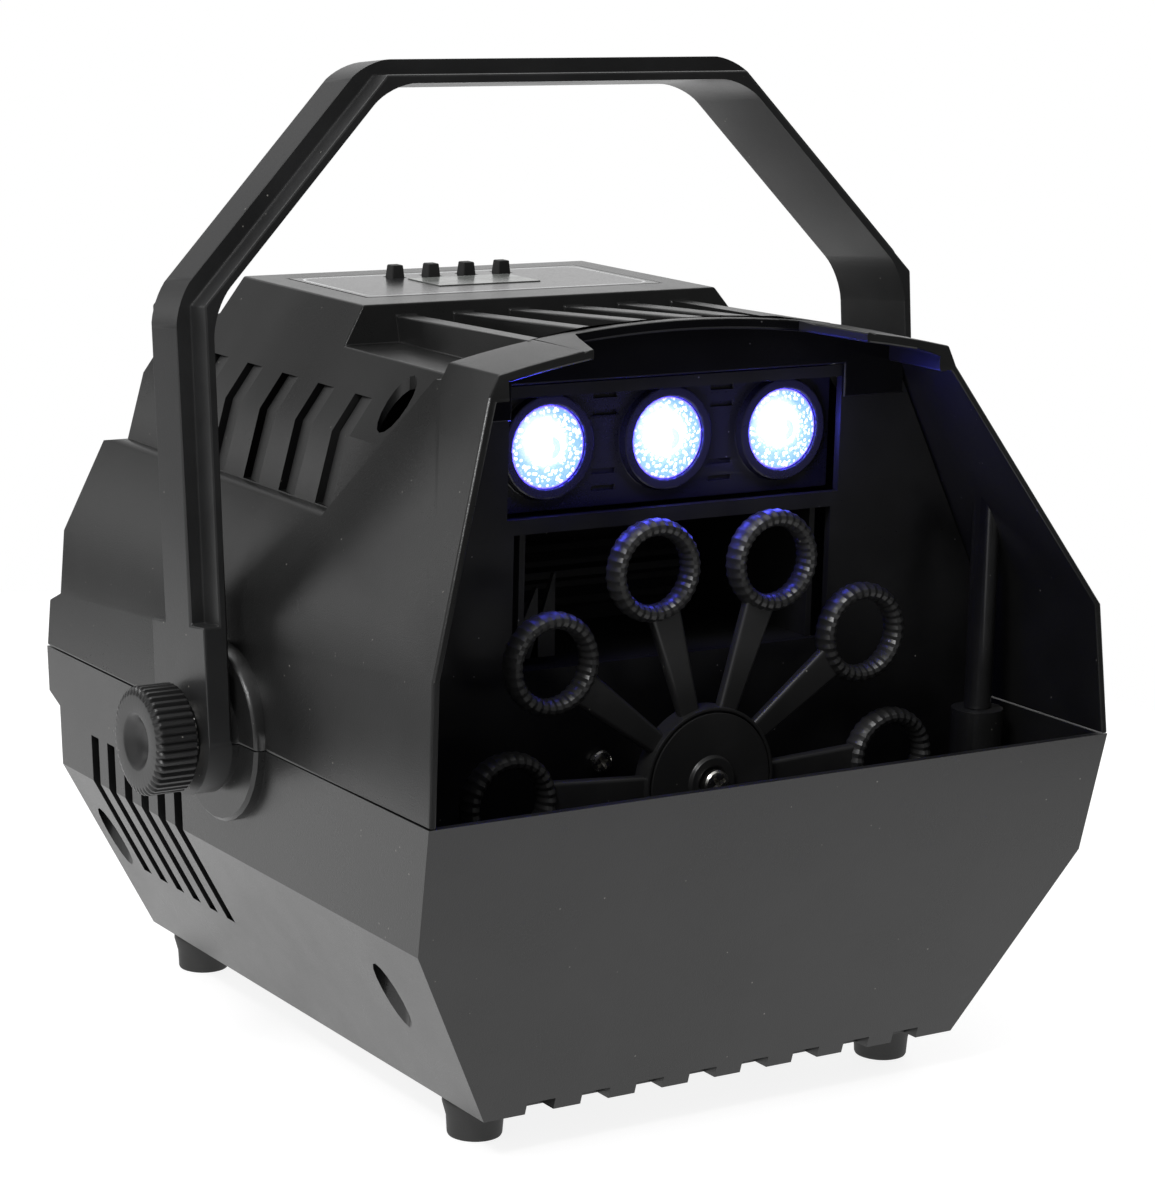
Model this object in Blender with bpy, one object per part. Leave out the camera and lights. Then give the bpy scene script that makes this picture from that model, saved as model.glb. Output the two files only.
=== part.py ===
"""Bubble machine: a two-shell plastic casing with a bail handle, ten wands on a wheel, a blower and three lamps.

Metres, +Z up. The mouth faces -Y, and the origin is on the floor below the middle of the machine.
"""

import bmesh
import bpy
from math import asin, atan2, cos, hypot, pi, radians, sin
from mathutils import Matrix

# General fits and stock
GAP = 0.0003
WALL = 0.0024
ROUND_SIDES = 28
SMALL_SIDES = 16
RING_SIDES = 18

# Overall size: the height and the width follow from the wheel
SIDE_ROOM = 0.0348
HALF_DEPTH = 0.1233
FOOT_HEIGHT = 0.0120

# Bubble wheel
WANDS = 10
WAND_PHASE = radians(-0.7)
WHEEL_PITCH_RADIUS = 0.0670
RING_RADIUS = 0.0152
RING_BORE_RADIUS = 0.0100
RING_DEPTH = 0.0084
ARM_WIDE = 0.0105
ARM_NARROW = 0.0062
ARM_DEPTH = 0.0036
HUB_RADIUS = 0.0222
HUB_DEPTH = 0.0070
HUB_COVER_RADIUS = 0.0206
HUB_COVER_DEPTH = 0.0016
WHEEL_FLOOR_CLEARANCE = 0.0009
WHEEL_BACK_CLEARANCE = 0.0140
SHAFT_RADIUS = 0.0030
WHEEL_SCREW_RADIUS = 0.0015
WHEEL_SCREW_HEAD_RADIUS = 0.0042
WHEEL_SCREW_HEAD_DEPTH = 0.0022
WHEEL_SCREW_LENGTH = 0.0080
HUB_BOSS_RADIUS = 0.0092
HUB_BOSS_RISE = 0.0012
HUB_BOSS_TAPER = 0.0004
SHAFT_IN_GEARBOX = 0.0060

WHEEL_RADIUS = WHEEL_PITCH_RADIUS + RING_RADIUS
HALF_WIDTH = WHEEL_RADIUS + SIDE_ROOM
FLOOR_Z = FOOT_HEIGHT + WALL
SHAFT_Z = FLOOR_Z + WHEEL_FLOOR_CLEARANCE + WHEEL_RADIUS

# Casing outline heights and half widths, from the split line outwards
SPLIT_Z = SHAFT_Z + 0.0102
LOWER_BEND_Z = SPLIT_Z - 0.0378
UPPER_BEND_Z = SPLIT_Z + 0.0389
TOP_EDGE_Z = SPLIT_Z + 0.1142
DECK_Z = SPLIT_Z + 0.1092
ARCH_Z = SPLIT_Z + 0.1229
HOUSING_Z = SPLIT_Z + 0.1206
LOWER_BEND_X = HALF_WIDTH - 0.0018
UPPER_BEND_X = HALF_WIDTH - 0.0024
TOP_EDGE_X = HALF_WIDTH - 0.0396
BOTTOM_EDGE_X = HALF_WIDTH - 0.0340

# Recessed side walls behind the mouth: from the housing over a knee to a ledge
HOUSING_X = HALF_WIDTH - 0.0537
KNEE_X = HALF_WIDTH - 0.0302
KNEE_Z = SPLIT_Z + 0.0880
WALL_FOOT_X = HALF_WIDTH - 0.0247
LEDGE_Z = SPLIT_Z + 0.0670
RECESS_RUN = 0.0311

# Casing outline depths, from the front and rear faces
FRONT_Y = -HALF_DEPTH
LOWER_BEND_FRONT_Y = FRONT_Y + 0.0078
UPPER_BEND_FRONT_Y = FRONT_Y + 0.0034
BOTTOM_FRONT_Y = FRONT_Y + 0.0252
ARCH_FRONT_Y = FRONT_Y + 0.0343
ARCH_REAR_Y = FRONT_Y + 0.0613
REAR_WALL_Y = HALF_DEPTH - 0.0078
REAR_BAND_HALF = 0.0150
REAR_BAND_BEVEL = 0.0035
REAR_SHOULDER_Z = SPLIT_Z + 0.0946
REAR_DECK_Y = REAR_WALL_Y - 0.0234
MOUTH_LIP = 0.0030
VISOR_FRONT_X = TOP_EDGE_X - 0.0304
VISOR_REAR_X = TOP_EDGE_X - 0.0384
VISOR_Y = ARCH_REAR_Y - 0.0042
TAB_INNER_X = TOP_EDGE_X - 0.0194
TAB_OUTER_X = TOP_EDGE_X + 0.0026
TAB_LOW_Z = DECK_Z - 0.0125
ARCH_STEPS = 17

# Control housing on the deck
DECK_DEPTH = REAR_DECK_Y - ARCH_REAR_Y
HOUSING_FOOT_FRONT_Y = ARCH_REAR_Y + 0.463 * DECK_DEPTH
HOUSING_FRONT_Y = HOUSING_FOOT_FRONT_Y + 0.0035
HOUSING_REAR_Y = REAR_DECK_Y - 0.0009
HOUSING_DEPTH = HOUSING_REAR_Y - HOUSING_FRONT_Y
LABEL_HALF_X = 0.0530
LABEL_FRONT_Y = HOUSING_FRONT_Y + 0.204 * HOUSING_DEPTH
LABEL_REAR_Y = HOUSING_REAR_Y - 0.143 * HOUSING_DEPTH
LABEL_THICKNESS = 0.0006
DISPLAY_HALF_X = 0.0185
DISPLAY_DEPTH = 0.249 * HOUSING_DEPTH
DISPLAY_REAR_Y = LABEL_REAR_Y - 0.192 * HOUSING_DEPTH
BUTTONS = 4
BUTTON_PITCH = 0.0131
BUTTON_HALF = 0.0026
BUTTON_HEIGHT = 0.0040
BUTTON_TRAVEL = 0.0008
BUTTON_Y = LABEL_REAR_Y - 0.109 * HOUSING_DEPTH
BUTTON_FLANGE = 0.0008
BOARD_THICKNESS = 0.0016
BOARD_DROP = 0.0040

# Deck bars
DECK_BARS = 6
DECK_BAR_PITCH = 0.0197
DECK_BAR_WIDTH = 0.0068
DECK_BAR_DROP = 0.0036

# Vents
LOUVRES = 5
LOUVRE_PITCH = 0.148 * DECK_DEPTH
LOUVRE_SLIT = 0.0024
LOUVRE_RAMP = 0.0080
LOUVRE_RAMP_DEPTH = 0.0014
LOUVRE_FRONT_Y = ARCH_REAR_Y + 0.311 * DECK_DEPTH
LOUVRE_HIGH_Z = KNEE_Z + 0.0105
SIDE_SLOTS = 6
SIDE_SLOT_PITCH = 0.0957 * HALF_DEPTH
SIDE_SLOT_WIDTH = 0.46 * SIDE_SLOT_PITCH
SIDE_SLOT_REAR_Y = REAR_WALL_Y - 0.0263
SIDE_SLOT_LOW_Z = SPLIT_Z - 0.0697
SIDE_SLOT_HIGH_Z = SPLIT_Z - 0.0229
SIDE_SLOT_DEPTH = 0.0300
NOTCHES = 8
NOTCH_PITCH = 0.0185
NOTCH_WIDTH = 0.0094
NOTCH_HEIGHT = 0.0036
NOTCH_RUN = 0.0080

# Casing screws and their posts
POST_X = HALF_WIDTH - 0.0146
FRONT_POST_Y = FRONT_Y + 0.0438
REAR_POST_Y = REAR_WALL_Y - 0.0125
POST_RADIUS = 0.0042
ACCESS_RADIUS = 0.0057
SCREW_RADIUS = 0.0015
SCREW_HEAD_RADIUS = 0.0034
SCREW_HEAD_DEPTH = 0.0024
SCREW_LENGTH = 0.0160
SCREW_SEAT = 0.0030
UPPER_ACCESS_X = KNEE_X - 0.0078
UPPER_ACCESS_Y = ARCH_REAR_Y + 0.169 * DECK_DEPTH

# Feet
FOOT_X = BOTTOM_EDGE_X - 0.0100
FOOT_FRONT_Y = FRONT_Y + 0.0468
FOOT_REAR_Y = REAR_WALL_Y - 0.0170
FOOT_BOTTOM_RADIUS = 0.0082
FOOT_TOP_RADIUS = 0.0096
FOOT_EDGE = 0.0010

# Inner plate, gear motor, lamps
PLATE_THICKNESS = 0.0025
PLATE_FRONT_Y = FRONT_Y + 0.0604
PLATE_REAR_Y = PLATE_FRONT_Y + PLATE_THICKNESS
PLATE_LOW_Z = LOWER_BEND_Z
PLATE_CLEARANCE = 0.0006
TANK_WALL_TOP_Z = PLATE_LOW_Z + 0.0060
MOTOR_OFFSET_Z = 0.0042
MOTOR_EAR_X = 0.0248
EAR_RADIUS = 0.0045
MOTOR_SCREW_HEAD_DEPTH = 0.0020
MOTOR_SCREW_LENGTH = 0.0060
GEARBOX_RADIUS = 0.0210
GEARBOX_DEPTH = 0.0140
GEAR_MOTOR_RADIUS = 0.0150
GEAR_MOTOR_DEPTH = 0.0230
CAN_EDGE = 0.0010
DUCT_HALF_X = 0.0556
DUCT_LOW_Z = SHAFT_Z + 0.0337
DUCT_HEIGHT = 0.0400
LAMP_PITCH = 0.0410
LAMP_Z = DUCT_LOW_Z + 0.0635
LAMP_HALF_X = 0.0600
LAMP_RECESS = 0.0084
LAMP_HALF_HEIGHT = 0.0190
LENS_RADIUS = 0.0120
LENS_DEPTH = 0.0065
LENS_DOME = 0.0018
LENS_SET_BACK = 0.0010
LAMP_WINDOW_TOP_MARGIN = 0.0040
LAMP_WINDOW_SIDE_MARGIN = 0.0020
COLLAR_RADIUS = 0.0154
COLLAR_DEPTH = 0.0030

# Blower
BLOWER_HALF_X = 0.0520
BLOWER_WALL = 0.0020
SCROLL_RADIUS = 0.0330
BLOWER_AXIS_Y = PLATE_REAR_Y + 0.0800
IMPELLER_RADIUS = 0.0245
IMPELLER_HALF_X = 0.0460
IMPELLER_BLADES = 18
BLADE_DEPTH = 0.0050
INLET_RADIUS = 0.0200
BLOWER_SHAFT_RADIUS = 0.0020
BLOWER_MOTOR_RADIUS = 0.0160
BLOWER_MOTOR_DEPTH = 0.0240
SHAFT_IN_MOTOR = 0.0060

# Rear fittings and power supply
SOCKET_X = 0.0500
SOCKET_Z = SPLIT_Z - 0.0460
SOCKET_HALF_X = 0.0136
SOCKET_HALF_Z = 0.0128
SOCKET_DEPTH = 0.0200
FLANGE_MARGIN = 0.0022
FLANGE_THICKNESS = 0.0016
WELL_HALF_X = 0.0120
WELL_HALF_Z = 0.0050
WELL_DEPTH = 0.0150
WELL_RISE = 0.0050
DRAWER_HALF_X = 0.0090
DRAWER_HALF_Z = 0.0030
DRAWER_DROP = 0.0075
DRAWER_DEPTH = 0.0120
SWITCH_X = 0.0120
SWITCH_HALF_X = 0.0065
SWITCH_HALF_Z = 0.0095
DRAWER_PROUD = 0.0006
PINS = ((-0.0070, -0.0012), (0.0070, -0.0012), (0.0, 0.0022))
PIN_HALF_X = 0.0020
PIN_HALF_Z = 0.0010
PIN_SET_BACK = 0.0030
ROCKER_TILT = radians(8)
ROCKER_RADIUS = 0.0080
ROCKER_PIVOT_DEPTH = 0.0030
ROCKER_SIDE = 0.0015
ROCKER_ROUND_DEPTH = 0.0016
ROCKER_TIP_HALF = 0.0060
ROCKER_TIP = 0.0058
ROCKER_DIP = 0.0022
SUPPLY_HALF_X = 0.0450
SUPPLY_HEIGHT = 0.0260
SUPPLY_LENGTH = 0.0600
SUPPLY_REAR_GAP = 0.0120

# Handle, clamping knobs and their studs
PIVOT_Y = -0.0032
HANDLE_TILT = radians(-6.1)
HANDLE_GAP = 0.0059
HANDLE_WIDTH = 0.0345
HANDLE_FLANGE = 0.0026
HANDLE_BAND = 0.0048
HANDLE_BAND_WIDTH = 0.0166
HANDLE_PAD_RISE = 0.0332
HANDLE_BEND_RISE = 0.1233
HANDLE_TOP_RISE = 0.1859
HANDLE_TOP_HALF_X = 0.0624
STUD_RADIUS = 0.0040
BOSS_RADIUS = 0.0263
BOSS_RISE = 0.0032
BOSS_SEAT_RADIUS = 0.0160
BOSS_EDGE = 0.0010
NUT_FLATS = 0.0130
NUT_DEPTH = 0.0065
NUT_POCKET_WALL = 0.0030
WASHER_RADIUS = 0.0110
WASHER_THICKNESS = 0.0015
KNOB_RADIUS = 0.0160
KNOB_DEPTH = 0.0128
KNOB_RIBS = 30
KNOB_RIB_DEPTH = 0.0009
KNOB_DISH_RADIUS = 0.0105
KNOB_DISH_DEPTH = 0.0040
STUD_IN_KNOB = 0.0070
STUD_EDGE = 0.0008

HANDLE_INNER_X = HALF_WIDTH + HANDLE_GAP
HANDLE_OUTER_X = HANDLE_INNER_X + HANDLE_FLANGE + HANDLE_BAND
KNOB_INNER_X = HANDLE_OUTER_X + WASHER_THICKNESS + 2 * GAP
NUT_OUTER_X = HALF_WIDTH - WALL - GAP


# Shapes

def at(axis, pair, along):
    """The point with these two coordinates across the axis and this one along it."""
    a, b = pair
    return {"x": (along, a, b), "y": (a, along, b), "z": (a, b, along)}[axis]


def add_prism(bm, outline, axis, low, high):
    """A straight extrusion of a closed outline along an axis."""
    face = bm.faces.new([bm.verts.new(at(axis, pair, low)) for pair in outline])
    grown = bmesh.ops.extrude_face_region(bm, geom=[face])["geom"]
    top = [item for item in grown if isinstance(item, bmesh.types.BMVert)]
    bmesh.ops.translate(bm, verts=top, vec=at(axis, (0, 0), high - low))


def add_swept(bm, points, moves):
    """A closed outline carried along one straight move after another."""
    face = bm.faces.new([bm.verts.new(point) for point in points])
    for i, move in enumerate(moves):
        grown = bmesh.ops.extrude_face_region(bm, geom=[face])["geom"]
        if i:
            bmesh.ops.delete(bm, geom=[face], context="FACES_ONLY")
        face = next(item for item in grown if isinstance(item, bmesh.types.BMFace))
        bmesh.ops.translate(bm, verts=face.verts, vec=move)


def circle(radius, sides, centre=(0, 0), phase=0.0):
    """Corner points of a regular polygon."""
    turns = [phase + 2 * pi * i / sides for i in range(sides)]
    return [(centre[0] + radius * cos(t), centre[1] + radius * sin(t)) for t in turns]


def box(low_a, high_a, low_b, high_b):
    return [(low_a, low_b), (high_a, low_b), (high_a, high_b), (low_a, high_b)]


def add_turned(bm, profile, axis, centre, sides):
    """A profile of (radius, place along the axis) points turned once round it."""
    verts = []
    for radius, along in profile:
        offset = at(axis, (radius, 0), along)
        verts.append(bm.verts.new([c + o for c, o in zip(at(axis, centre, 0), offset)]))
    edges = [bm.edges.new(pair) for pair in zip(verts, verts[1:])]
    if profile[0][0] > 0:
        edges.append(bm.edges.new((verts[-1], verts[0])))
    bmesh.ops.spin(bm, geom=verts + edges, cent=at(axis, centre, 0), axis=at(axis, (0, 0), 1),
                   angle=2 * pi, steps=sides, use_merge=True)
    bmesh.ops.remove_doubles(bm, verts=bm.verts, dist=1e-6)


def add_object(name, bm, material=None, origin=(0, 0, 0)):
    """A named object from a bmesh given in the machine's own frame, with its origin at a point."""
    bmesh.ops.recalc_face_normals(bm, faces=bm.faces)
    bmesh.ops.translate(bm, verts=bm.verts, vec=[-c for c in origin])
    mesh = bpy.data.meshes.new(name)
    bm.to_mesh(mesh)
    bm.free()
    obj = bpy.data.objects.new(name, mesh)
    obj.location = origin
    bpy.context.scene.collection.objects.link(obj)
    if material:
        mesh.materials.append(material)
        mesh.shade_smooth()
        mesh.set_sharp_from_angle(angle=radians(35))
    else:
        obj.hide_render = True
        obj.display_type = "WIRE"
    return obj


def prism(name, outline, axis, low, high, material=None, origin=(0, 0, 0)):
    bm = bmesh.new()
    add_prism(bm, outline, axis, low, high)
    return add_object(name, bm, material, origin)


def turned(name, profile, axis, centre, sides, material=None, origin=(0, 0, 0)):
    bm = bmesh.new()
    add_turned(bm, profile, axis, centre, sides)
    return add_object(name, bm, material, origin)


def pierced(name, outlines, axis, low, high, material=None):
    """Several separate prisms in one object, mostly used as a cutter."""
    bm = bmesh.new()
    for outline in outlines:
        add_prism(bm, outline, axis, low, high)
    return add_object(name, bm, material)


def combine(target, operation, *tools):
    for tool in tools:
        step = target.modifiers.new(f"{operation.lower()} {tool.name}", "BOOLEAN")
        step.operation = operation
        step.object = tool
    return target


def material(name, colour, roughness, metallic=0.0, alpha=1.0):
    made = bpy.data.materials.new(name)
    made.use_nodes = True
    shader = made.node_tree.nodes["Principled BSDF"]
    shader.inputs["Base Color"].default_value = (*colour, 1)
    shader.inputs["Roughness"].default_value = roughness
    shader.inputs["Metallic"].default_value = metallic
    shader.inputs["Alpha"].default_value = alpha
    return made


# Outlines of the casing

def slope_offset(run, rise, wall):
    """How far a slanted wall moves sideways when it is offset inwards by a wall."""
    return wall * hypot(run, rise) / abs(rise)


def arch_top(x):
    """Height of the arched rim over the mouth at this x."""
    rise = ARCH_Z - TOP_EDGE_Z
    radius = (TOP_EDGE_X ** 2 + rise ** 2) / (2 * rise)
    return ARCH_Z - radius + (radius ** 2 - x ** 2) ** 0.5


def slant_x(z):
    """Half width of the mouth's slanted side at this height."""
    share = (z - UPPER_BEND_Z) / (TOP_EDGE_Z - UPPER_BEND_Z)
    return UPPER_BEND_X + share * (TOP_EDGE_X - UPPER_BEND_X)


def wall_x(z):
    """Half width of the recessed wall above its knee at this height."""
    return KNEE_X + (z - KNEE_Z) / (HOUSING_Z - KNEE_Z) * (HOUSING_X - KNEE_X)


def upper_front(wall):
    """Half of the upper casing's front outline, inset by a wall."""
    slant = slope_offset(UPPER_BEND_X - TOP_EDGE_X, TOP_EDGE_Z - UPPER_BEND_Z, wall)
    top = DECK_Z - wall
    return [(HALF_WIDTH - wall, SPLIT_Z + GAP / 2), (UPPER_BEND_X - wall, UPPER_BEND_Z),
            (slant_x(top) - slant, top)]


def mouth_front():
    """Half of the upper casing's outside from the front, up to its arched rim."""
    xs = [TOP_EDGE_X * (1 - 2 * i / ARCH_STEPS) for i in range(ARCH_STEPS // 2 + 1)]
    return upper_front(0)[:2] + [(x, arch_top(x)) for x in xs]


def lower_front(wall):
    """Half of the lower casing's front outline, inset by a wall."""
    slant = slope_offset(LOWER_BEND_X - BOTTOM_EDGE_X, LOWER_BEND_Z - FOOT_HEIGHT, wall)
    lift = wall * (LOWER_BEND_X - BOTTOM_EDGE_X) / (LOWER_BEND_Z - FOOT_HEIGHT)
    return [(HALF_WIDTH - wall, SPLIT_Z - GAP / 2), (LOWER_BEND_X - wall, LOWER_BEND_Z),
            (BOTTOM_EDGE_X - slant + lift, FOOT_HEIGHT + wall)]


def mirrored(half):
    return half + [(-x, z) for x, z in reversed(half)]


def upper_side(wall):
    """Side outline of the upper casing, inset by a wall at the rear and open at the front when it has one."""
    front = [(FRONT_Y, SPLIT_Z + GAP / 2), (UPPER_BEND_FRONT_Y, UPPER_BEND_Z),
             (ARCH_FRONT_Y, DECK_Z - WALL / 2),
             (ARCH_FRONT_Y, ARCH_Z + WALL), (ARCH_REAR_Y, ARCH_Z + WALL), (ARCH_REAR_Y, DECK_Z)]
    if wall:
        front = [(FRONT_Y - WALL, SPLIT_Z + GAP / 2), (FRONT_Y - WALL, DECK_Z - wall)]
    band_top = SPLIT_Z + REAR_BAND_HALF
    rear = [(REAR_DECK_Y - wall, DECK_Z - wall), (REAR_WALL_Y - wall, REAR_SHOULDER_Z),
            (REAR_WALL_Y - wall, band_top + REAR_BAND_BEVEL - wall),
            (HALF_DEPTH - wall, band_top - wall), (HALF_DEPTH - wall, SPLIT_Z + GAP / 2)]
    return front + rear


def lower_side(wall):
    """Side outline of the lower casing, inset by a wall."""
    band_low = SPLIT_Z - REAR_BAND_HALF
    return [(FRONT_Y + wall, SPLIT_Z - GAP / 2), (LOWER_BEND_FRONT_Y + wall, LOWER_BEND_Z),
            (BOTTOM_FRONT_Y + (wall and NOTCH_RUN), FOOT_HEIGHT + wall),
            (REAR_WALL_Y - wall, FOOT_HEIGHT + wall),
            (REAR_WALL_Y - wall, band_low - REAR_BAND_BEVEL + wall),
            (HALF_DEPTH - wall, band_low + wall), (HALF_DEPTH - wall, SPLIT_Z - GAP / 2)]


def shell_body(name, front, side, finish=None):
    """The solid that has one outline from the front and another from the side."""
    margin = BOSS_RADIUS
    body = prism(name, mirrored(front), "y", FRONT_Y - margin, HALF_DEPTH + margin, finish)
    return combine(body, "INTERSECT",
                   prism(f"{name} side", side, "x", -HALF_WIDTH - margin, HALF_WIDTH + margin))


def housing(name, wall, foot_z):
    """The raised control housing, inset by a wall: its sides are cut by the recess."""
    outline = [(HOUSING_FOOT_FRONT_Y + wall, foot_z), (HOUSING_FOOT_FRONT_Y + wall, DECK_Z),
               (HOUSING_FRONT_Y + wall, HOUSING_Z - wall), (HOUSING_REAR_Y - wall, HOUSING_Z - wall),
               (HOUSING_REAR_Y - wall, foot_z)]
    return prism(name, outline, "x", -KNEE_X, KNEE_X)


def step_y(z):
    """Where the diagonal step behind the mouth is at this height."""
    return ARCH_REAR_Y + RECESS_RUN * (TOP_EDGE_Z - z) / (TOP_EDGE_Z - LEDGE_Z)


def recess(name, wall):
    """The space outside both recessed walls, grown by a wall: it ends in a diagonal step behind the mouth."""
    top_z, foot_z, far = HOUSING_Z + BOSS_RADIUS, LEDGE_Z - wall, HALF_WIDTH + BOSS_RADIUS
    high = slope_offset(KNEE_X - HOUSING_X, HOUSING_Z - KNEE_Z, wall)
    low = slope_offset(WALL_FOOT_X - KNEE_X, KNEE_Z - LEDGE_Z, wall)
    half = [(wall_x(top_z) - high, top_z), (KNEE_X - (high + low) / 2, KNEE_Z), (WALL_FOOT_X - low, foot_z),
            (far, foot_z), (far, top_z)]
    shelf_z, low_z = (DECK_Z + TOP_EDGE_Z) / 2, foot_z - WALL
    side = [(HOUSING_FOOT_FRONT_Y - WALL, top_z), (HOUSING_FOOT_FRONT_Y - WALL, shelf_z),
            (step_y(shelf_z) - wall, shelf_z), (step_y(low_z) - wall, low_z), (2 * REAR_WALL_Y, low_z),
            (2 * REAR_WALL_Y, top_z)]
    bm = bmesh.new()
    for sign in (-1, 1):
        add_prism(bm, [(sign * x, z) for x, z in half], "y", ARCH_REAR_Y - 2 * WALL, 2 * REAR_WALL_Y + WALL)
    return combine(add_object(name, bm), "INTERSECT",
                   prism(f"{name} side", side, "x", -far - WALL, far + WALL))


def posts(name, radius, low, high):
    """Round posts at the four casing screws."""
    places = [(side * POST_X, y) for side in (-1, 1) for y in (FRONT_POST_Y, REAR_POST_Y)]
    return pierced(name, [circle(radius, SMALL_SIDES, place) for place in places], "z", low, high)


def nut_block(name, low_z, high_z):
    """The block behind each handle boss that the captive nut sits in."""
    half = NUT_FLATS / 2 + NUT_POCKET_WALL
    outline = box(PIVOT_Y - half, PIVOT_Y + half, low_z, high_z)
    bm = bmesh.new()
    for side in (-1, 1):
        ends = sorted((side * (NUT_OUTER_X - NUT_DEPTH - NUT_POCKET_WALL), side * (HALF_WIDTH - WALL / 2)))
        add_prism(bm, outline, "x", *ends)
    return add_object(name, bm)


def handle_boss(name, low_z):
    """Round bosses on both sides that the handle turns on, with a raised seat."""
    bm = bmesh.new()
    reach = HALF_WIDTH + BOSS_RISE
    seat = HANDLE_INNER_X - GAP
    for side in (-1, 1):
        profile = [(0, HALF_WIDTH - WALL), (BOSS_RADIUS, HALF_WIDTH - WALL),
                   (BOSS_RADIUS, reach - BOSS_EDGE),
                   (BOSS_RADIUS - BOSS_EDGE, reach), (BOSS_SEAT_RADIUS, reach), (BOSS_SEAT_RADIUS, seat),
                   (0, seat)]
        add_turned(bm, [(r, side * x) for r, x in profile], "x", (PIVOT_Y, SPLIT_Z), ROUND_SIDES)
    boss = add_object(name, bm)
    half = prism(f"{name} half", box(-BOSS_RADIUS * 2, BOSS_RADIUS * 2, low_z, low_z + BOSS_RADIUS * 2),
                 "x",
                 -HANDLE_OUTER_X, HANDLE_OUTER_X)
    return combine(boss, "INTERSECT", half)


def stud_bore(name):
    """The hole for both studs, with the six-sided nut pockets."""
    bm = bmesh.new()
    flats = NUT_FLATS / 2 + GAP
    for side in (-1, 1):
        pocket = sorted((side * (NUT_OUTER_X - NUT_DEPTH - GAP), side * (NUT_OUTER_X + GAP / 2)))
        add_prism(bm, circle(flats / cos(pi / 6), 6, (PIVOT_Y, SPLIT_Z), pi / 6), "x", *pocket)
    pockets = add_object(name, bm)
    length = HANDLE_INNER_X + WALL
    centre = (PIVOT_Y, SPLIT_Z)
    bore = pierced(f"{name} bore", [circle(STUD_RADIUS + GAP, SMALL_SIDES, centre)], "x", -length, length)
    return combine(pockets, "UNION", bore)


# The two casings

def louvre_cuts():
    """Upright slits that follow the recessed walls over their knee, each with a ramp sunk in front of it."""
    foot_z = LEDGE_Z + GAP
    path = [(wall_x(LOUVRE_HIGH_Z), LOUVRE_HIGH_Z), (KNEE_X, KNEE_Z), (WALL_FOOT_X, foot_z)]
    bm = bmesh.new()
    for side in (-1, 1):
        for i in range(LOUVRES):
            y = LOUVRE_FRONT_Y + i * LOUVRE_PITCH
            outline = [(-2 * WALL, y), (-2 * WALL, y + LOUVRE_SLIT), (WALL, y + LOUVRE_SLIT), (WALL, y),
                       (WALL, y - LOUVRE_RAMP), (0, y - LOUVRE_RAMP), (-LOUVRE_RAMP_DEPTH, y)]
            points = [(side * (path[0][0] + out), along, path[0][1]) for out, along in outline]
            add_swept(bm, points, [(side * (next_x - x), 0, next_z - z)
                                   for (x, z), (next_x, next_z) in zip(path, path[1:])])
    return add_object("louvre cuts", bm)


def arch_hollow():
    """The space under the arched rim, open at the front."""
    inner = TOP_EDGE_X - slope_offset(UPPER_BEND_X - TOP_EDGE_X, TOP_EDGE_Z - UPPER_BEND_Z, MOUTH_LIP)
    xs = [inner * (1 - 2 * i / ARCH_STEPS) for i in range(ARCH_STEPS + 1)]
    foot = DECK_Z - 2 * WALL
    outline = [(x, arch_top(x) - MOUTH_LIP) for x in xs]
    outline += [(-inner, foot), (inner, foot)]
    return prism("arch hollow", outline, "y", FRONT_Y, ARCH_REAR_Y - WALL)


def visor_cut():
    """The front of the arched rim's middle is cut away, so that light from the lamps leaves upwards."""
    front = FRONT_Y - WALL
    outline = [(-VISOR_FRONT_X, front), (VISOR_FRONT_X, front), (VISOR_FRONT_X, ARCH_FRONT_Y),
               (VISOR_REAR_X, VISOR_Y), (-VISOR_REAR_X, VISOR_Y), (-VISOR_FRONT_X, ARCH_FRONT_Y)]
    return prism("visor cut", outline, "z", DECK_Z, ARCH_Z + WALL)


def plate_tabs():
    """Flat tabs that hang from the deck and hold the inner plate's top corners."""
    corners = box(TAB_INNER_X, TAB_OUTER_X, TAB_LOW_Z, DECK_Z)
    outlines = [[(side * x, z) for x, z in corners] for side in (-1, 1)]
    return pierced("plate tabs", outlines, "y", ARCH_REAR_Y - WALL, PLATE_FRONT_Y - GAP)


def deck_bars():
    """Sloping bars from the arched rim to the control housing."""
    bm = bmesh.new()
    for i in range(DECK_BARS):
        x = (i - (DECK_BARS - 1) / 2) * DECK_BAR_PITCH
        foot = DECK_Z - WALL / 2
        rear = HOUSING_FRONT_Y + WALL / 2
        outline = [(ARCH_REAR_Y - WALL / 2, foot), (rear, foot), (rear, HOUSING_Z - DECK_BAR_DROP),
                   (ARCH_REAR_Y - WALL / 2, arch_top(x) - GAP)]
        add_prism(bm, outline, "x", x - DECK_BAR_WIDTH / 2, x + DECK_BAR_WIDTH / 2)
    return add_object("deck bars", bm)


def button_xs():
    return [(i - (BUTTONS - 1) / 2) * BUTTON_PITCH for i in range(BUTTONS)]


def button_holes(name, low, high):
    half = BUTTON_HALF + GAP
    outlines = [box(x - half, x + half, BUTTON_Y - half, BUTTON_Y + half) for x in button_xs()]
    return pierced(name, outlines, "z", low, high)


def label_pocket():
    edge = LABEL_HALF_X + GAP
    outline = box(-edge, edge, LABEL_FRONT_Y - GAP, LABEL_REAR_Y + GAP)
    return prism("label pocket", outline, "z", HOUSING_Z - LABEL_THICKNESS - GAP, HOUSING_Z + WALL)


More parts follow.
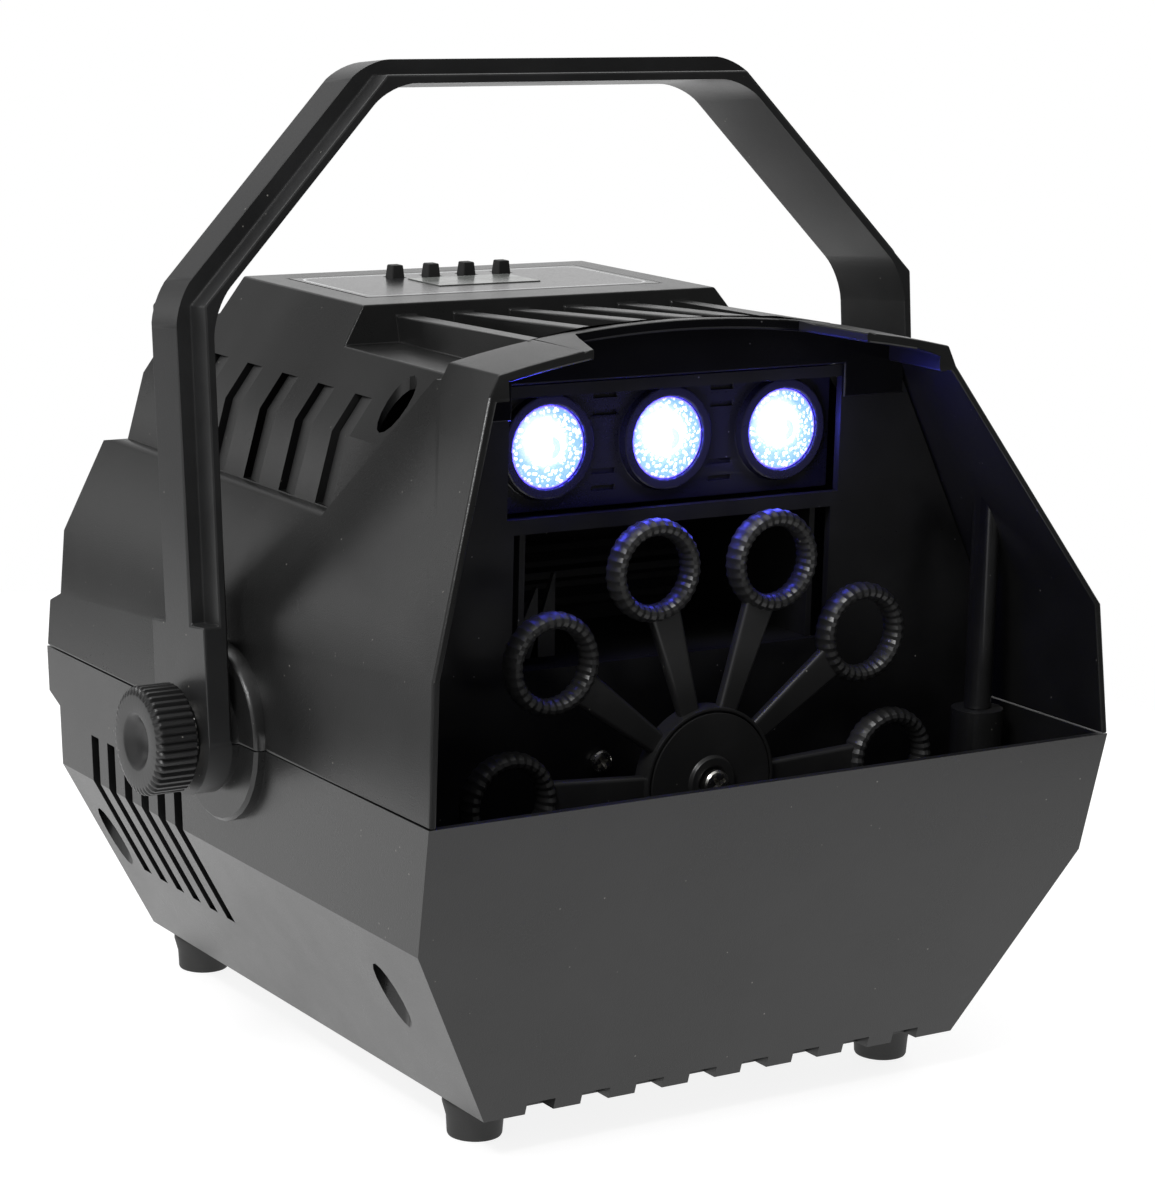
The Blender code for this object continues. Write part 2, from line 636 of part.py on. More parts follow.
def upper_casing(finish):
    """Top shell: mouth with an arched rim, deck bars, control housing, recessed louvred sides and screw posts."""
    body = shell_body("upper_casing", mouth_front(), upper_side(0), finish)
    combine(body, "UNION", housing("housing", 0, DECK_Z - WALL))
    combine(body, "DIFFERENCE", recess("recess", 0))
    combine(body, "UNION", deck_bars(), handle_boss("upper boss", SPLIT_Z + GAP / 2))
    hollow = shell_body("upper hollow", upper_front(WALL), upper_side(WALL))
    half = NUT_FLATS / 2 + NUT_POCKET_WALL
    combine(hollow, "UNION", housing("housing hollow", WALL, DECK_Z - 2 * WALL))
    combine(hollow, "DIFFERENCE", recess("recess room", WALL),
            posts("upper posts", POST_RADIUS, SPLIT_Z - WALL, TOP_EDGE_Z), plate_tabs(),
            nut_block("upper nut block", SPLIT_Z - WALL, SPLIT_Z + half))
    pilots = posts("pilot holes", SCREW_RADIUS + GAP, SPLIT_Z - WALL, SPLIT_Z + SCREW_LENGTH)
    return combine(body, "DIFFERENCE", hollow, arch_hollow(), visor_cut(), louvre_cuts(), pilots,
                   stud_bore("upper stud bore"),
                   label_pocket(), button_holes("casing button holes", DECK_Z, HOUSING_Z + WALL),
                   upper_access())


def upper_access():
    """Upright access bores through the recessed walls."""
    places = [(side * UPPER_ACCESS_X, UPPER_ACCESS_Y) for side in (-1, 1)]
    outlines = [circle(ACCESS_RADIUS, SMALL_SIDES, place) for place in places]
    return pierced("upper access", outlines, "z", KNEE_Z - WALL, TOP_EDGE_Z)


def side_slot_cuts():
    """Slots that run down the lower side wall and over its bend."""
    bm = bmesh.new()
    for side in (-1, 1):
        ends = sorted((side * (HALF_WIDTH - SIDE_SLOT_DEPTH), side * (HALF_WIDTH + WALL)))
        for i in range(SIDE_SLOTS):
            y = SIDE_SLOT_REAR_Y - i * SIDE_SLOT_PITCH
            half = SIDE_SLOT_WIDTH / 2
            add_prism(bm, box(y - half, y + half, SIDE_SLOT_LOW_Z, SIDE_SLOT_HIGH_Z), "x", *ends)
    return add_object("side slots", bm)


def notch_cuts():
    """Notches along the front lower edge."""
    bm = bmesh.new()
    for i in range(NOTCHES):
        x = (i - (NOTCHES - 1) / 2) * NOTCH_PITCH
        outline = box(BOTTOM_FRONT_Y - WALL, BOTTOM_FRONT_Y + NOTCH_RUN - WALL,
                      FOOT_HEIGHT - WALL, FOOT_HEIGHT + NOTCH_HEIGHT)
        add_prism(bm, outline, "x", x - NOTCH_WIDTH / 2, x + NOTCH_WIDTH / 2)
    return add_object("notches", bm)


def rear_cut(name, x, half_x, half_z):
    outline = box(x - half_x - GAP, x + half_x + GAP, SOCKET_Z - half_z - GAP, SOCKET_Z + half_z + GAP)
    return prism(name, outline, "y", REAR_WALL_Y - 2 * WALL, REAR_WALL_Y + WALL)


def lower_casing(finish):
    """Bottom shell: the front part is the fluid tank, and posts take the casing screws."""
    body = shell_body("lower_casing", lower_front(0), lower_side(0), finish)
    combine(body, "UNION", handle_boss("lower boss", SPLIT_Z - GAP / 2 - 2 * BOSS_RADIUS))
    hollow = shell_body("lower hollow", lower_front(WALL), lower_side(WALL))
    half = NUT_FLATS / 2 + NUT_POCKET_WALL
    tank_wall = prism("tank wall", box(PLATE_REAR_Y + GAP, PLATE_REAR_Y + GAP + WALL, 0, TANK_WALL_TOP_Z),
                      "x",
                      -HALF_WIDTH, HALF_WIDTH)
    combine(hollow, "DIFFERENCE", posts("lower posts", ACCESS_RADIUS + WALL, 0, SPLIT_Z - GAP / 2),
            nut_block("lower nut block", SPLIT_Z - half, SPLIT_Z + WALL), tank_wall)
    combine(body, "DIFFERENCE", hollow, side_slot_cuts(), notch_cuts(), stud_bore("lower stud bore"),
            posts("access bores", ACCESS_RADIUS, 0, SPLIT_Z - SCREW_SEAT),
            posts("screw holes", SCREW_RADIUS + GAP, 0, SPLIT_Z + WALL),
            rear_cut("socket cut", SOCKET_X, SOCKET_HALF_X, SOCKET_HALF_Z),
            rear_cut("switch cut", SWITCH_X, SWITCH_HALF_X, SWITCH_HALF_Z))
    return body


def feet(finish):
    """Four tapered rubber feet."""
    for across, side in (("left", -1), ("right", 1)):
        for along, y in (("front", FOOT_FRONT_Y), ("rear", FOOT_REAR_Y)):
            profile = [(0, 0), (FOOT_BOTTOM_RADIUS - FOOT_EDGE, 0), (FOOT_BOTTOM_RADIUS, FOOT_EDGE),
                       (FOOT_TOP_RADIUS, FOOT_HEIGHT - GAP), (0, FOOT_HEIGHT - GAP)]
            turned(f"foot_{along}_{across}", profile, "z", (side * FOOT_X, y), ROUND_SIDES, finish)


def casing_screws(finish):
    """Four screws, driven up the access bores."""
    low = SPLIT_Z - SCREW_SEAT - GAP
    head = low - SCREW_HEAD_DEPTH
    profile = [(0, head), (SCREW_HEAD_RADIUS, head), (SCREW_HEAD_RADIUS, low), (SCREW_RADIUS, low),
               (SCREW_RADIUS, SPLIT_Z + SCREW_LENGTH - GAP), (0, SPLIT_Z + SCREW_LENGTH - GAP)]
    for across, side in (("left", -1), ("right", 1)):
        for along, y in (("front", FRONT_POST_Y), ("rear", REAR_POST_Y)):
            turned(f"casing_screw_{along}_{across}", profile, "z", (side * POST_X, y), SMALL_SIDES, finish)


# Inner plate and lamps

def back_plate(finish):
    """Upright plate behind the wheel, with windows for the lamps and the blower's mouth."""
    reach = PLATE_CLEARANCE + WALL
    half = upper_front(reach)
    low = lower_front(reach)
    outline = half[::-1] + [low[0], (low[1][0], PLATE_LOW_Z)]
    plate = prism("back_plate", mirrored(outline), "y", PLATE_FRONT_Y, PLATE_REAR_Y, finish)
    lamp_low = LAMP_Z - LAMP_HALF_HEIGHT
    lamp_half = LAMP_HALF_X - LAMP_WINDOW_SIDE_MARGIN
    windows = pierced("plate windows", [
        box(-DUCT_HALF_X, DUCT_HALF_X, DUCT_LOW_Z, DUCT_LOW_Z + DUCT_HEIGHT),
        box(-lamp_half, lamp_half, lamp_low, DECK_Z - WALL - LAMP_WINDOW_TOP_MARGIN),
    ], "y", PLATE_FRONT_Y - WALL, PLATE_REAR_Y + WALL)
    bores = [circle(SHAFT_RADIUS + GAP, SMALL_SIDES, (0, SHAFT_Z))]
    bores += [circle(SCREW_RADIUS + GAP, SMALL_SIDES, (side * MOTOR_EAR_X, SHAFT_Z + MOTOR_OFFSET_Z))
              for side in (-1, 1)]
    holes = pierced("plate holes", bores, "y", PLATE_FRONT_Y - WALL, PLATE_REAR_Y + WALL)
    post_room = posts("plate post room", POST_RADIUS + PLATE_CLEARANCE, 0, TOP_EDGE_Z)
    return combine(plate, "DIFFERENCE", windows, holes, post_room)


def lamps(plastic, clear, board):
    """Lamp bezel with three collars, a lens in each, and the board behind them."""
    face = PLATE_FRONT_Y + LAMP_RECESS
    low, high = LAMP_Z - LAMP_HALF_HEIGHT, LAMP_Z + LAMP_HALF_HEIGHT
    xs = {"left": -LAMP_PITCH, "centre": 0.0, "right": LAMP_PITCH}
    outline = box(-LAMP_HALF_X, LAMP_HALF_X, low, high)
    bezel = prism("led_bezel", outline, "y", face, face + BLOWER_WALL, plastic)
    collars = pierced("collars", [circle(COLLAR_RADIUS, ROUND_SIDES, (x, LAMP_Z)) for x in xs.values()],
                      "y",
                      face - COLLAR_DEPTH, face + BLOWER_WALL / 2)
    bores = pierced("lens bores",
                    [circle(LENS_RADIUS + GAP, ROUND_SIDES, (x, LAMP_Z)) for x in xs.values()], "y",
                    face - 2 * COLLAR_DEPTH, face + 2 * BLOWER_WALL)
    combine(bezel, "UNION", collars)
    combine(bezel, "DIFFERENCE", bores)
    front = face - COLLAR_DEPTH + LENS_SET_BACK
    profile = [(0, front - LENS_DOME), (LENS_RADIUS * 0.5, front - LENS_DOME * 0.75),
               (LENS_RADIUS * 0.85, front - LENS_DOME * 0.28), (LENS_RADIUS, front),
               (LENS_RADIUS, front + LENS_DEPTH), (0, front + LENS_DEPTH)]
    for name, x in xs.items():
        turned(f"led_lens_{name}", profile, "y", (x, LAMP_Z), ROUND_SIDES, clear)
    rear = front + LENS_DEPTH + GAP
    prism("led_board", outline, "y", rear, rear + BOARD_THICKNESS, board)


# Bubble wheel and its drive

def wheel_middle():
    """Middle of the wheel's depth: it turns just clear of the plate."""
    return PLATE_FRONT_Y - WHEEL_BACK_CLEARANCE - RING_DEPTH / 2


def bubble_wheel(finish):
    """One moulding: a hub, ten tapered arms and ten wand rings."""
    middle = wheel_middle()
    origin = (0, middle, SHAFT_Z)
    bm = bmesh.new()
    add_prism(bm, circle(HUB_RADIUS, ROUND_SIDES, (0, SHAFT_Z)), "y", middle - HUB_DEPTH / 2,
              middle + HUB_DEPTH / 2)
    wheel = add_object("bubble_wheel", bm, finish, origin)
    arms, rings, bores = bmesh.new(), bmesh.new(), []
    reach = WHEEL_PITCH_RADIUS - (RING_RADIUS + RING_BORE_RADIUS) / 2
    for i in range(WANDS):
        turn = WAND_PHASE + 2 * pi * i / WANDS
        across, out = (-sin(turn), cos(turn)), (cos(turn), sin(turn))
        corners = []
        for radius, half in ((HUB_RADIUS * 0.7, ARM_NARROW / 2), (reach, ARM_WIDE / 2)):
            for side in (-1, 1):
                corners.append((out[0] * radius + side * half * across[0],
                                SHAFT_Z + out[1] * radius + side * half * across[1]))
        outline = [corners[0], corners[1], corners[3], corners[2]]
        add_prism(arms, outline, "y", middle - ARM_DEPTH / 2, middle + ARM_DEPTH / 2)
        centre = (out[0] * WHEEL_PITCH_RADIUS, SHAFT_Z + out[1] * WHEEL_PITCH_RADIUS)
        edge = RING_DEPTH / 2
        crown = (RING_RADIUS + RING_BORE_RADIUS) / 2
        profile = [(RING_BORE_RADIUS, middle - edge / 2), (crown, middle - edge),
                   (RING_RADIUS, middle - edge / 2),
                   (RING_RADIUS, middle + edge / 2), (crown, middle + edge),
                   (RING_BORE_RADIUS, middle + edge / 2)]
        add_turned(rings, profile, "y", centre, RING_SIDES)
    combine(wheel, "UNION", add_object("arms", arms), add_object("rings", rings))
    cover_room = turned("hub cover room",
                        [(0, middle - HUB_DEPTH), (HUB_COVER_RADIUS + GAP, middle - HUB_DEPTH),
                                           (HUB_COVER_RADIUS + GAP,
                                            middle - HUB_DEPTH / 2 + HUB_COVER_DEPTH),
                                           (0, middle - HUB_DEPTH / 2 + HUB_COVER_DEPTH)],
                        "y", (0, SHAFT_Z), ROUND_SIDES)
    bore = pierced("hub bore", [circle(SHAFT_RADIUS + GAP, SMALL_SIDES, (0, SHAFT_Z))], "y",
                   middle - HUB_DEPTH,
                   middle + HUB_DEPTH)
    return combine(wheel, "DIFFERENCE", cover_room, bore)


def wheel_drive(plastic, steel, motor_finish):
    """Hub cover, its screw, the shaft, and the gear motor on the back of the plate."""
    middle = wheel_middle()
    centre = (0, SHAFT_Z)
    cover_rear = middle - HUB_DEPTH / 2 + HUB_COVER_DEPTH - GAP
    cover_front = cover_rear - HUB_COVER_DEPTH
    boss_front = cover_front - HUB_BOSS_RISE
    bore = WHEEL_SCREW_RADIUS + GAP
    turned("hub_cover",
           [(bore, cover_rear), (bore, boss_front), (HUB_BOSS_RADIUS - HUB_BOSS_TAPER, boss_front),
                         (HUB_BOSS_RADIUS, cover_front), (HUB_COVER_RADIUS, cover_front),
                         (HUB_COVER_RADIUS, cover_rear)],
           "y", centre, ROUND_SIDES, plastic, (0, middle, SHAFT_Z))
    seat = boss_front - GAP
    head = seat - WHEEL_SCREW_HEAD_DEPTH
    tip = cover_rear + WHEEL_SCREW_LENGTH
    turned("wheel_screw", [(0, head), (WHEEL_SCREW_HEAD_RADIUS * 0.7, head),
                           (WHEEL_SCREW_HEAD_RADIUS, seat - WHEEL_SCREW_HEAD_DEPTH / 2),
                           (WHEEL_SCREW_HEAD_RADIUS, seat), (WHEEL_SCREW_RADIUS, seat),
                           (WHEEL_SCREW_RADIUS, tip), (0, tip)],
           "y", centre, SMALL_SIDES, steel, (0, middle, SHAFT_Z))
    shaft_rear = PLATE_REAR_Y + SHAFT_IN_GEARBOX
    turned("drive_shaft", [(0, tip + GAP), (bore, tip + GAP), (bore, cover_rear + GAP),
                           (SHAFT_RADIUS, cover_rear + GAP), (SHAFT_RADIUS, shaft_rear), (0, shaft_rear)],
           "y", centre, SMALL_SIDES, steel, (0, middle, SHAFT_Z))
    gear_motor(steel, motor_finish)


def gear_motor(steel, motor_finish):
    """Gearbox with two screwed ears, and the motor can behind it."""
    middle_z = SHAFT_Z + MOTOR_OFFSET_Z
    front = PLATE_REAR_Y + GAP
    rear = front + GEARBOX_DEPTH
    gearbox = prism("gearbox", circle(GEARBOX_RADIUS, ROUND_SIDES, (0, middle_z)), "y", front, rear, steel)
    reach = MOTOR_EAR_X + EAR_RADIUS
    ears = prism("ears", box(-reach, reach, middle_z - EAR_RADIUS, middle_z + EAR_RADIUS), "y", front,
                 front + WALL)
    room = circle(SHAFT_RADIUS + GAP, SMALL_SIDES, (0, SHAFT_Z))
    shaft_room = prism("shaft room", room, "y", front - WALL,
                       PLATE_REAR_Y + SHAFT_IN_GEARBOX + GAP)
    bores = pierced("ear bores", [circle(SCREW_RADIUS + GAP, SMALL_SIDES, (side * MOTOR_EAR_X, middle_z))
                                  for side in (-1, 1)], "y", front - WALL, front + 2 * WALL)
    combine(gearbox, "UNION", ears)
    combine(gearbox, "DIFFERENCE", shaft_room, bores)
    turned("gear_motor", [(0, rear + GAP), (GEAR_MOTOR_RADIUS, rear + GAP),
                          (GEAR_MOTOR_RADIUS, rear + GEAR_MOTOR_DEPTH - CAN_EDGE),
                          (GEAR_MOTOR_RADIUS - CAN_EDGE, rear + GEAR_MOTOR_DEPTH),
                          (0, rear + GEAR_MOTOR_DEPTH)],
           "y", (0, middle_z), ROUND_SIDES, motor_finish)
    seat = PLATE_FRONT_Y - GAP
    head = seat - MOTOR_SCREW_HEAD_DEPTH
    tip = PLATE_REAR_Y + MOTOR_SCREW_LENGTH
    for across, side in (("left", -1), ("right", 1)):
        turned(f"motor_screw_{across}", [(0, head), (SCREW_HEAD_RADIUS * 0.7, head),
                                         (SCREW_HEAD_RADIUS, seat - MOTOR_SCREW_HEAD_DEPTH / 2),
                                         (SCREW_HEAD_RADIUS, seat), (SCREW_RADIUS, seat),
                                         (SCREW_RADIUS, tip), (0, tip)],
               "y", (side * MOTOR_EAR_X, middle_z), SMALL_SIDES, steel)


# Blower

def scroll_outline(wall, mouth_y):
    """Side outline of the blower: a round scroll with a straight mouth, inset by a wall."""
    top = DUCT_LOW_Z + DUCT_HEIGHT + BLOWER_WALL - wall
    low = DUCT_LOW_Z - BLOWER_WALL + wall
    radius = SCROLL_RADIUS - wall
    centre_z = DUCT_LOW_Z + DUCT_HEIGHT + BLOWER_WALL - SCROLL_RADIUS
    start = pi + asin((centre_z - low) / radius)
    steps = 20
    turns = [start + (2.5 * pi - start) * i / steps for i in range(steps + 1)]
    curve = [(BLOWER_AXIS_Y + radius * cos(t), centre_z + radius * sin(t)) for t in turns]
    return [(mouth_y, low)] + curve + [(mouth_y, top)]


def blower(plastic, rotor, steel, motor_finish):
    """Scroll housing, bladed impeller, its shaft and its motor."""
    axis = (BLOWER_AXIS_Y, DUCT_LOW_Z + DUCT_HEIGHT + BLOWER_WALL - SCROLL_RADIUS)
    mouth = PLATE_REAR_Y + GAP
    scroll = prism("blower_housing", scroll_outline(0, mouth), "x", -BLOWER_HALF_X, BLOWER_HALF_X, plastic)
    inner = BLOWER_HALF_X - BLOWER_WALL
    hollow = prism("scroll hollow", scroll_outline(BLOWER_WALL, mouth - WALL), "x", -inner, inner)
    inlets = pierced("blower inlets", [circle(INLET_RADIUS, ROUND_SIDES, axis)], "x", -2 * inner, 2 * inner)
    combine(scroll, "DIFFERENCE", hollow, inlets)
    teeth = []
    for i in range(IMPELLER_BLADES):
        for radius, share in ((IMPELLER_RADIUS - BLADE_DEPTH, 0.1), (IMPELLER_RADIUS, 0.35),
                              (IMPELLER_RADIUS, 0.6), (IMPELLER_RADIUS - BLADE_DEPTH, 0.85)):
            turn = 2 * pi * (i + share) / IMPELLER_BLADES
            teeth.append((axis[0] + radius * cos(turn), axis[1] + radius * sin(turn)))
    impeller = prism("blower_impeller", teeth, "x", -IMPELLER_HALF_X, IMPELLER_HALF_X, rotor, (0, *axis))
    shaft_room = prism("impeller bore", circle(BLOWER_SHAFT_RADIUS + GAP, SMALL_SIDES, axis), "x",
                       -BLOWER_HALF_X, BLOWER_HALF_X)
    combine(impeller, "DIFFERENCE", shaft_room)
    motor_front = BLOWER_HALF_X + GAP
    motor_room = motor_front + SHAFT_IN_MOTOR
    turned("blower_shaft", [(0, -IMPELLER_HALF_X), (BLOWER_SHAFT_RADIUS, -IMPELLER_HALF_X),
                            (BLOWER_SHAFT_RADIUS, motor_room - GAP), (0, motor_room - GAP)],
           "x", axis, SMALL_SIDES, steel, (0, *axis))
    bore = BLOWER_SHAFT_RADIUS + GAP
    turned("blower_motor", [(0, motor_room), (bore, motor_room), (bore, motor_front),
                            (INLET_RADIUS + WALL, motor_front), (INLET_RADIUS + WALL, motor_front + WALL),
                            (BLOWER_MOTOR_RADIUS, motor_front + WALL),
                            (BLOWER_MOTOR_RADIUS, motor_front + BLOWER_MOTOR_DEPTH),
                            (0, motor_front + BLOWER_MOTOR_DEPTH)],
           "x", axis, ROUND_SIDES, motor_finish)


# Controls and supply

def controls(label_finish, window_finish, rubber, board):
    """Printed panel, display window, four buttons and the control board under them."""
    low = HOUSING_Z - LABEL_THICKNESS
    label = prism("panel_label", box(-LABEL_HALF_X, LABEL_HALF_X, LABEL_FRONT_Y, LABEL_REAR_Y), "z", low,
                  HOUSING_Z, label_finish)
    front = DISPLAY_REAR_Y - DISPLAY_DEPTH
    combine(label, "DIFFERENCE", button_holes("label button holes", low - WALL, HOUSING_Z + WALL),
            prism("label window",
                  box(-DISPLAY_HALF_X - GAP, DISPLAY_HALF_X + GAP, front - GAP, DISPLAY_REAR_Y + GAP),
                  "z", low - WALL, HOUSING_Z + WALL))
    prism("display_window", box(-DISPLAY_HALF_X, DISPLAY_HALF_X, front, DISPLAY_REAR_Y), "z", low,
          HOUSING_Z + LABEL_THICKNESS / 2, window_finish)
    inside = HOUSING_Z - WALL
    board_top = inside - BOARD_DROP
    stem_low = board_top + BUTTON_TRAVEL + GAP
    rim = BUTTON_HALF + BUTTON_FLANGE
    for i, x in enumerate(button_xs()):
        button = prism(f"button_{i + 1}", box(x - rim, x + rim, BUTTON_Y - rim, BUTTON_Y + rim), "z",
                       stem_low, inside - GAP, rubber, (x, BUTTON_Y, HOUSING_Z))
        stem = prism(f"button stem {i + 1}", box(x - BUTTON_HALF, x + BUTTON_HALF, BUTTON_Y - BUTTON_HALF,
                                                 BUTTON_Y + BUTTON_HALF), "z", stem_low + GAP,
                     HOUSING_Z + BUTTON_HEIGHT)
        combine(button, "UNION", stem)
    reach = HOUSING_X - 2 * WALL
    prism("control_board", box(-reach, reach, HOUSING_FRONT_Y + 2 * WALL, HOUSING_REAR_Y - 3 * WALL), "z",
          board_top - BOARD_THICKNESS, board_top, board)


def rear_fittings(plastic, steel, shell_finish):
    """Mains inlet with its fuse drawer, rocker switch, and the supply board in its cover."""
    flange_y = REAR_WALL_Y + GAP
    inner = REAR_WALL_Y - SOCKET_DEPTH
    inlet = prism("power_inlet",
                  box(SOCKET_X - SOCKET_HALF_X, SOCKET_X + SOCKET_HALF_X, SOCKET_Z - SOCKET_HALF_Z,
                                     SOCKET_Z + SOCKET_HALF_Z), "y", inner, flange_y + FLANGE_THICKNESS / 2,
                                     plastic)
    combine(inlet, "UNION", flange("inlet flange", SOCKET_X, SOCKET_HALF_X, SOCKET_HALF_Z))
    well_z = SOCKET_Z + WELL_RISE
    drawer_z = SOCKET_Z - DRAWER_DROP
    out = flange_y + 2 * FLANGE_THICKNESS
    well = prism("inlet well", box(SOCKET_X - WELL_HALF_X, SOCKET_X + WELL_HALF_X, well_z - WELL_HALF_Z,
                                   well_z + WELL_HALF_Z), "y", flange_y - WELL_DEPTH, out)
    drawer_room = prism("drawer room", box(SOCKET_X - DRAWER_HALF_X - GAP, SOCKET_X + DRAWER_HALF_X + GAP,
                                           drawer_z - DRAWER_HALF_Z - GAP, drawer_z + DRAWER_HALF_Z + GAP),
                                           "y",
                        flange_y - DRAWER_DEPTH - GAP, out)
    combine(inlet, "DIFFERENCE", well, drawer_room)
    prism("fuse_drawer", box(SOCKET_X - DRAWER_HALF_X, SOCKET_X + DRAWER_HALF_X, drawer_z - DRAWER_HALF_Z,
                             drawer_z + DRAWER_HALF_Z), "y", flange_y - DRAWER_DEPTH,
          flange_y + FLANGE_THICKNESS + DRAWER_PROUD, plastic)
    for i, (across, rise) in enumerate(PINS):
        x, z = SOCKET_X + across, well_z + rise
        prism(f"inlet_pin_{i + 1}", box(x - PIN_HALF_X, x + PIN_HALF_X, z - PIN_HALF_Z, z + PIN_HALF_Z),
              "y",
              flange_y - WELL_DEPTH + GAP, flange_y - PIN_SET_BACK, steel)
    power_switch(plastic, flange_y)
    supply_low, supply_rear = FLOOR_Z + GAP, inner - SUPPLY_REAR_GAP
    prism("power_supply", box(-SUPPLY_HALF_X, SUPPLY_HALF_X, supply_low, supply_low + SUPPLY_HEIGHT), "y",
          supply_rear - SUPPLY_LENGTH, supply_rear, shell_finish)


def flange(name, x, half_x, half_z):
    """The rim of a snap-in fitting, outside the rear wall."""
    reach_x, reach_z = half_x + FLANGE_MARGIN, half_z + FLANGE_MARGIN
    outline = box(x - reach_x, x + reach_x, SOCKET_Z - reach_z, SOCKET_Z + reach_z)
    return prism(name, outline, "y", REAR_WALL_Y + GAP, REAR_WALL_Y + GAP + FLANGE_THICKNESS)


def power_switch(plastic, flange_y):
    """Switch body with a well, and the rocker that tips in it."""
    switch = prism("power_switch", box(SWITCH_X - SWITCH_HALF_X, SWITCH_X + SWITCH_HALF_X,
                                       SOCKET_Z - SWITCH_HALF_Z, SOCKET_Z + SWITCH_HALF_Z), "y",
                   REAR_WALL_Y - SOCKET_DEPTH, flange_y + FLANGE_THICKNESS / 2, plastic)
    combine(switch, "UNION", flange("switch flange", SWITCH_X, SWITCH_HALF_X, SWITCH_HALF_Z))
    half_x, reach = SWITCH_HALF_X - ROCKER_SIDE, ROCKER_RADIUS + 2 * GAP
    pivot_y = flange_y - ROCKER_PIVOT_DEPTH
    room = prism("rocker room", circle(reach, ROUND_SIDES, (pivot_y, SOCKET_Z)), "x",
                 SWITCH_X - half_x - GAP,
                 SWITCH_X + half_x + GAP)
    combine(switch, "DIFFERENCE", room)
    edge = asin(ROCKER_ROUND_DEPTH / ROCKER_RADIUS)
    turns = [pi / 2 - edge + (pi + 2 * edge) * i / ROUND_SIDES for i in range(ROUND_SIDES + 1)]
    rounded = [(pivot_y + ROCKER_RADIUS * cos(t), SOCKET_Z + ROCKER_RADIUS * sin(t)) for t in turns]
    tip_y = pivot_y + ROCKER_TIP
    crown = [(tip_y, SOCKET_Z - ROCKER_TIP_HALF), (tip_y - ROCKER_DIP, SOCKET_Z),
             (tip_y, SOCKET_Z + ROCKER_TIP_HALF)]
    rocker = prism("power_rocker", rounded + crown, "x", SWITCH_X - half_x, SWITCH_X + half_x, plastic,
                   (SWITCH_X, pivot_y, SOCKET_Z))
    rocker.rotation_euler.x = ROCKER_TILT


# Handle and clamping knobs

def bail_outline(inner, outer):
    """A strip that runs up one side, over the top and down the other, between two offsets from the inner line."""
    slope = atan2(HANDLE_TOP_RISE - HANDLE_BEND_RISE, HANDLE_INNER_X - HANDLE_TOP_HALF_X)
    corner_low = (pi / 2 - slope) / 2
    corner_top = slope / 2
    low_z, bend_z, top_z = SPLIT_Z, SPLIT_Z + HANDLE_BEND_RISE, SPLIT_Z + HANDLE_TOP_RISE
    sides = []
    for offset in (inner, outer):
        rise = offset * sin(corner_low) / cos(corner_low)
        run = offset * sin(corner_top) / cos(corner_top)
        sides.append([(HANDLE_INNER_X + offset, low_z), (HANDLE_INNER_X + offset, bend_z + rise),
                      (HANDLE_TOP_HALF_X + run, top_z + offset)])
    inner_line, outer_line = mirrored(sides[0]), mirrored(sides[1])
    return outer_line + inner_line[::-1]


def handle(finish):
    """Bail with a flat flange, a raised band along its outside and a round pad at each pivot."""
    origin = (0, PIVOT_Y, SPLIT_Z)
    half, band = HANDLE_WIDTH / 2, HANDLE_BAND_WIDTH / 2
    bail = prism("handle", bail_outline(0, HANDLE_FLANGE), "y", PIVOT_Y - half, PIVOT_Y + half, finish,
                 origin)
    rib = prism("handle band", bail_outline(HANDLE_FLANGE / 2, HANDLE_FLANGE + HANDLE_BAND), "y",
                PIVOT_Y - band,
                PIVOT_Y + band)
    bm = bmesh.new()
    for side in (-1, 1):
        arc = [(PIVOT_Y + half * cos(t), SPLIT_Z + half * sin(t)) for t in
               [pi + pi * i / ROUND_SIDES for i in range(ROUND_SIDES + 1)]]
        outline = arc + [(PIVOT_Y + half, SPLIT_Z + HANDLE_PAD_RISE),
                         (PIVOT_Y - half, SPLIT_Z + HANDLE_PAD_RISE)]
        add_prism(bm, outline, "x", *sorted((side * HANDLE_INNER_X, side * HANDLE_OUTER_X)))
    pads = add_object("handle pads", bm)
    bore = pierced("handle bore", [circle(STUD_RADIUS + 2 * GAP, SMALL_SIDES, (PIVOT_Y, SPLIT_Z))], "x",
                   -HANDLE_OUTER_X - WALL, HANDLE_OUTER_X + WALL)
    combine(bail, "UNION", rib, pads)
    combine(bail, "DIFFERENCE", bore)
    for tool in (rib, pads, bore):
        tool.data.transform(Matrix.Translation([-c for c in origin]))
        tool.location = origin
        tool.rotation_euler.x = HANDLE_TILT
    bail.rotation_euler.x = HANDLE_TILT


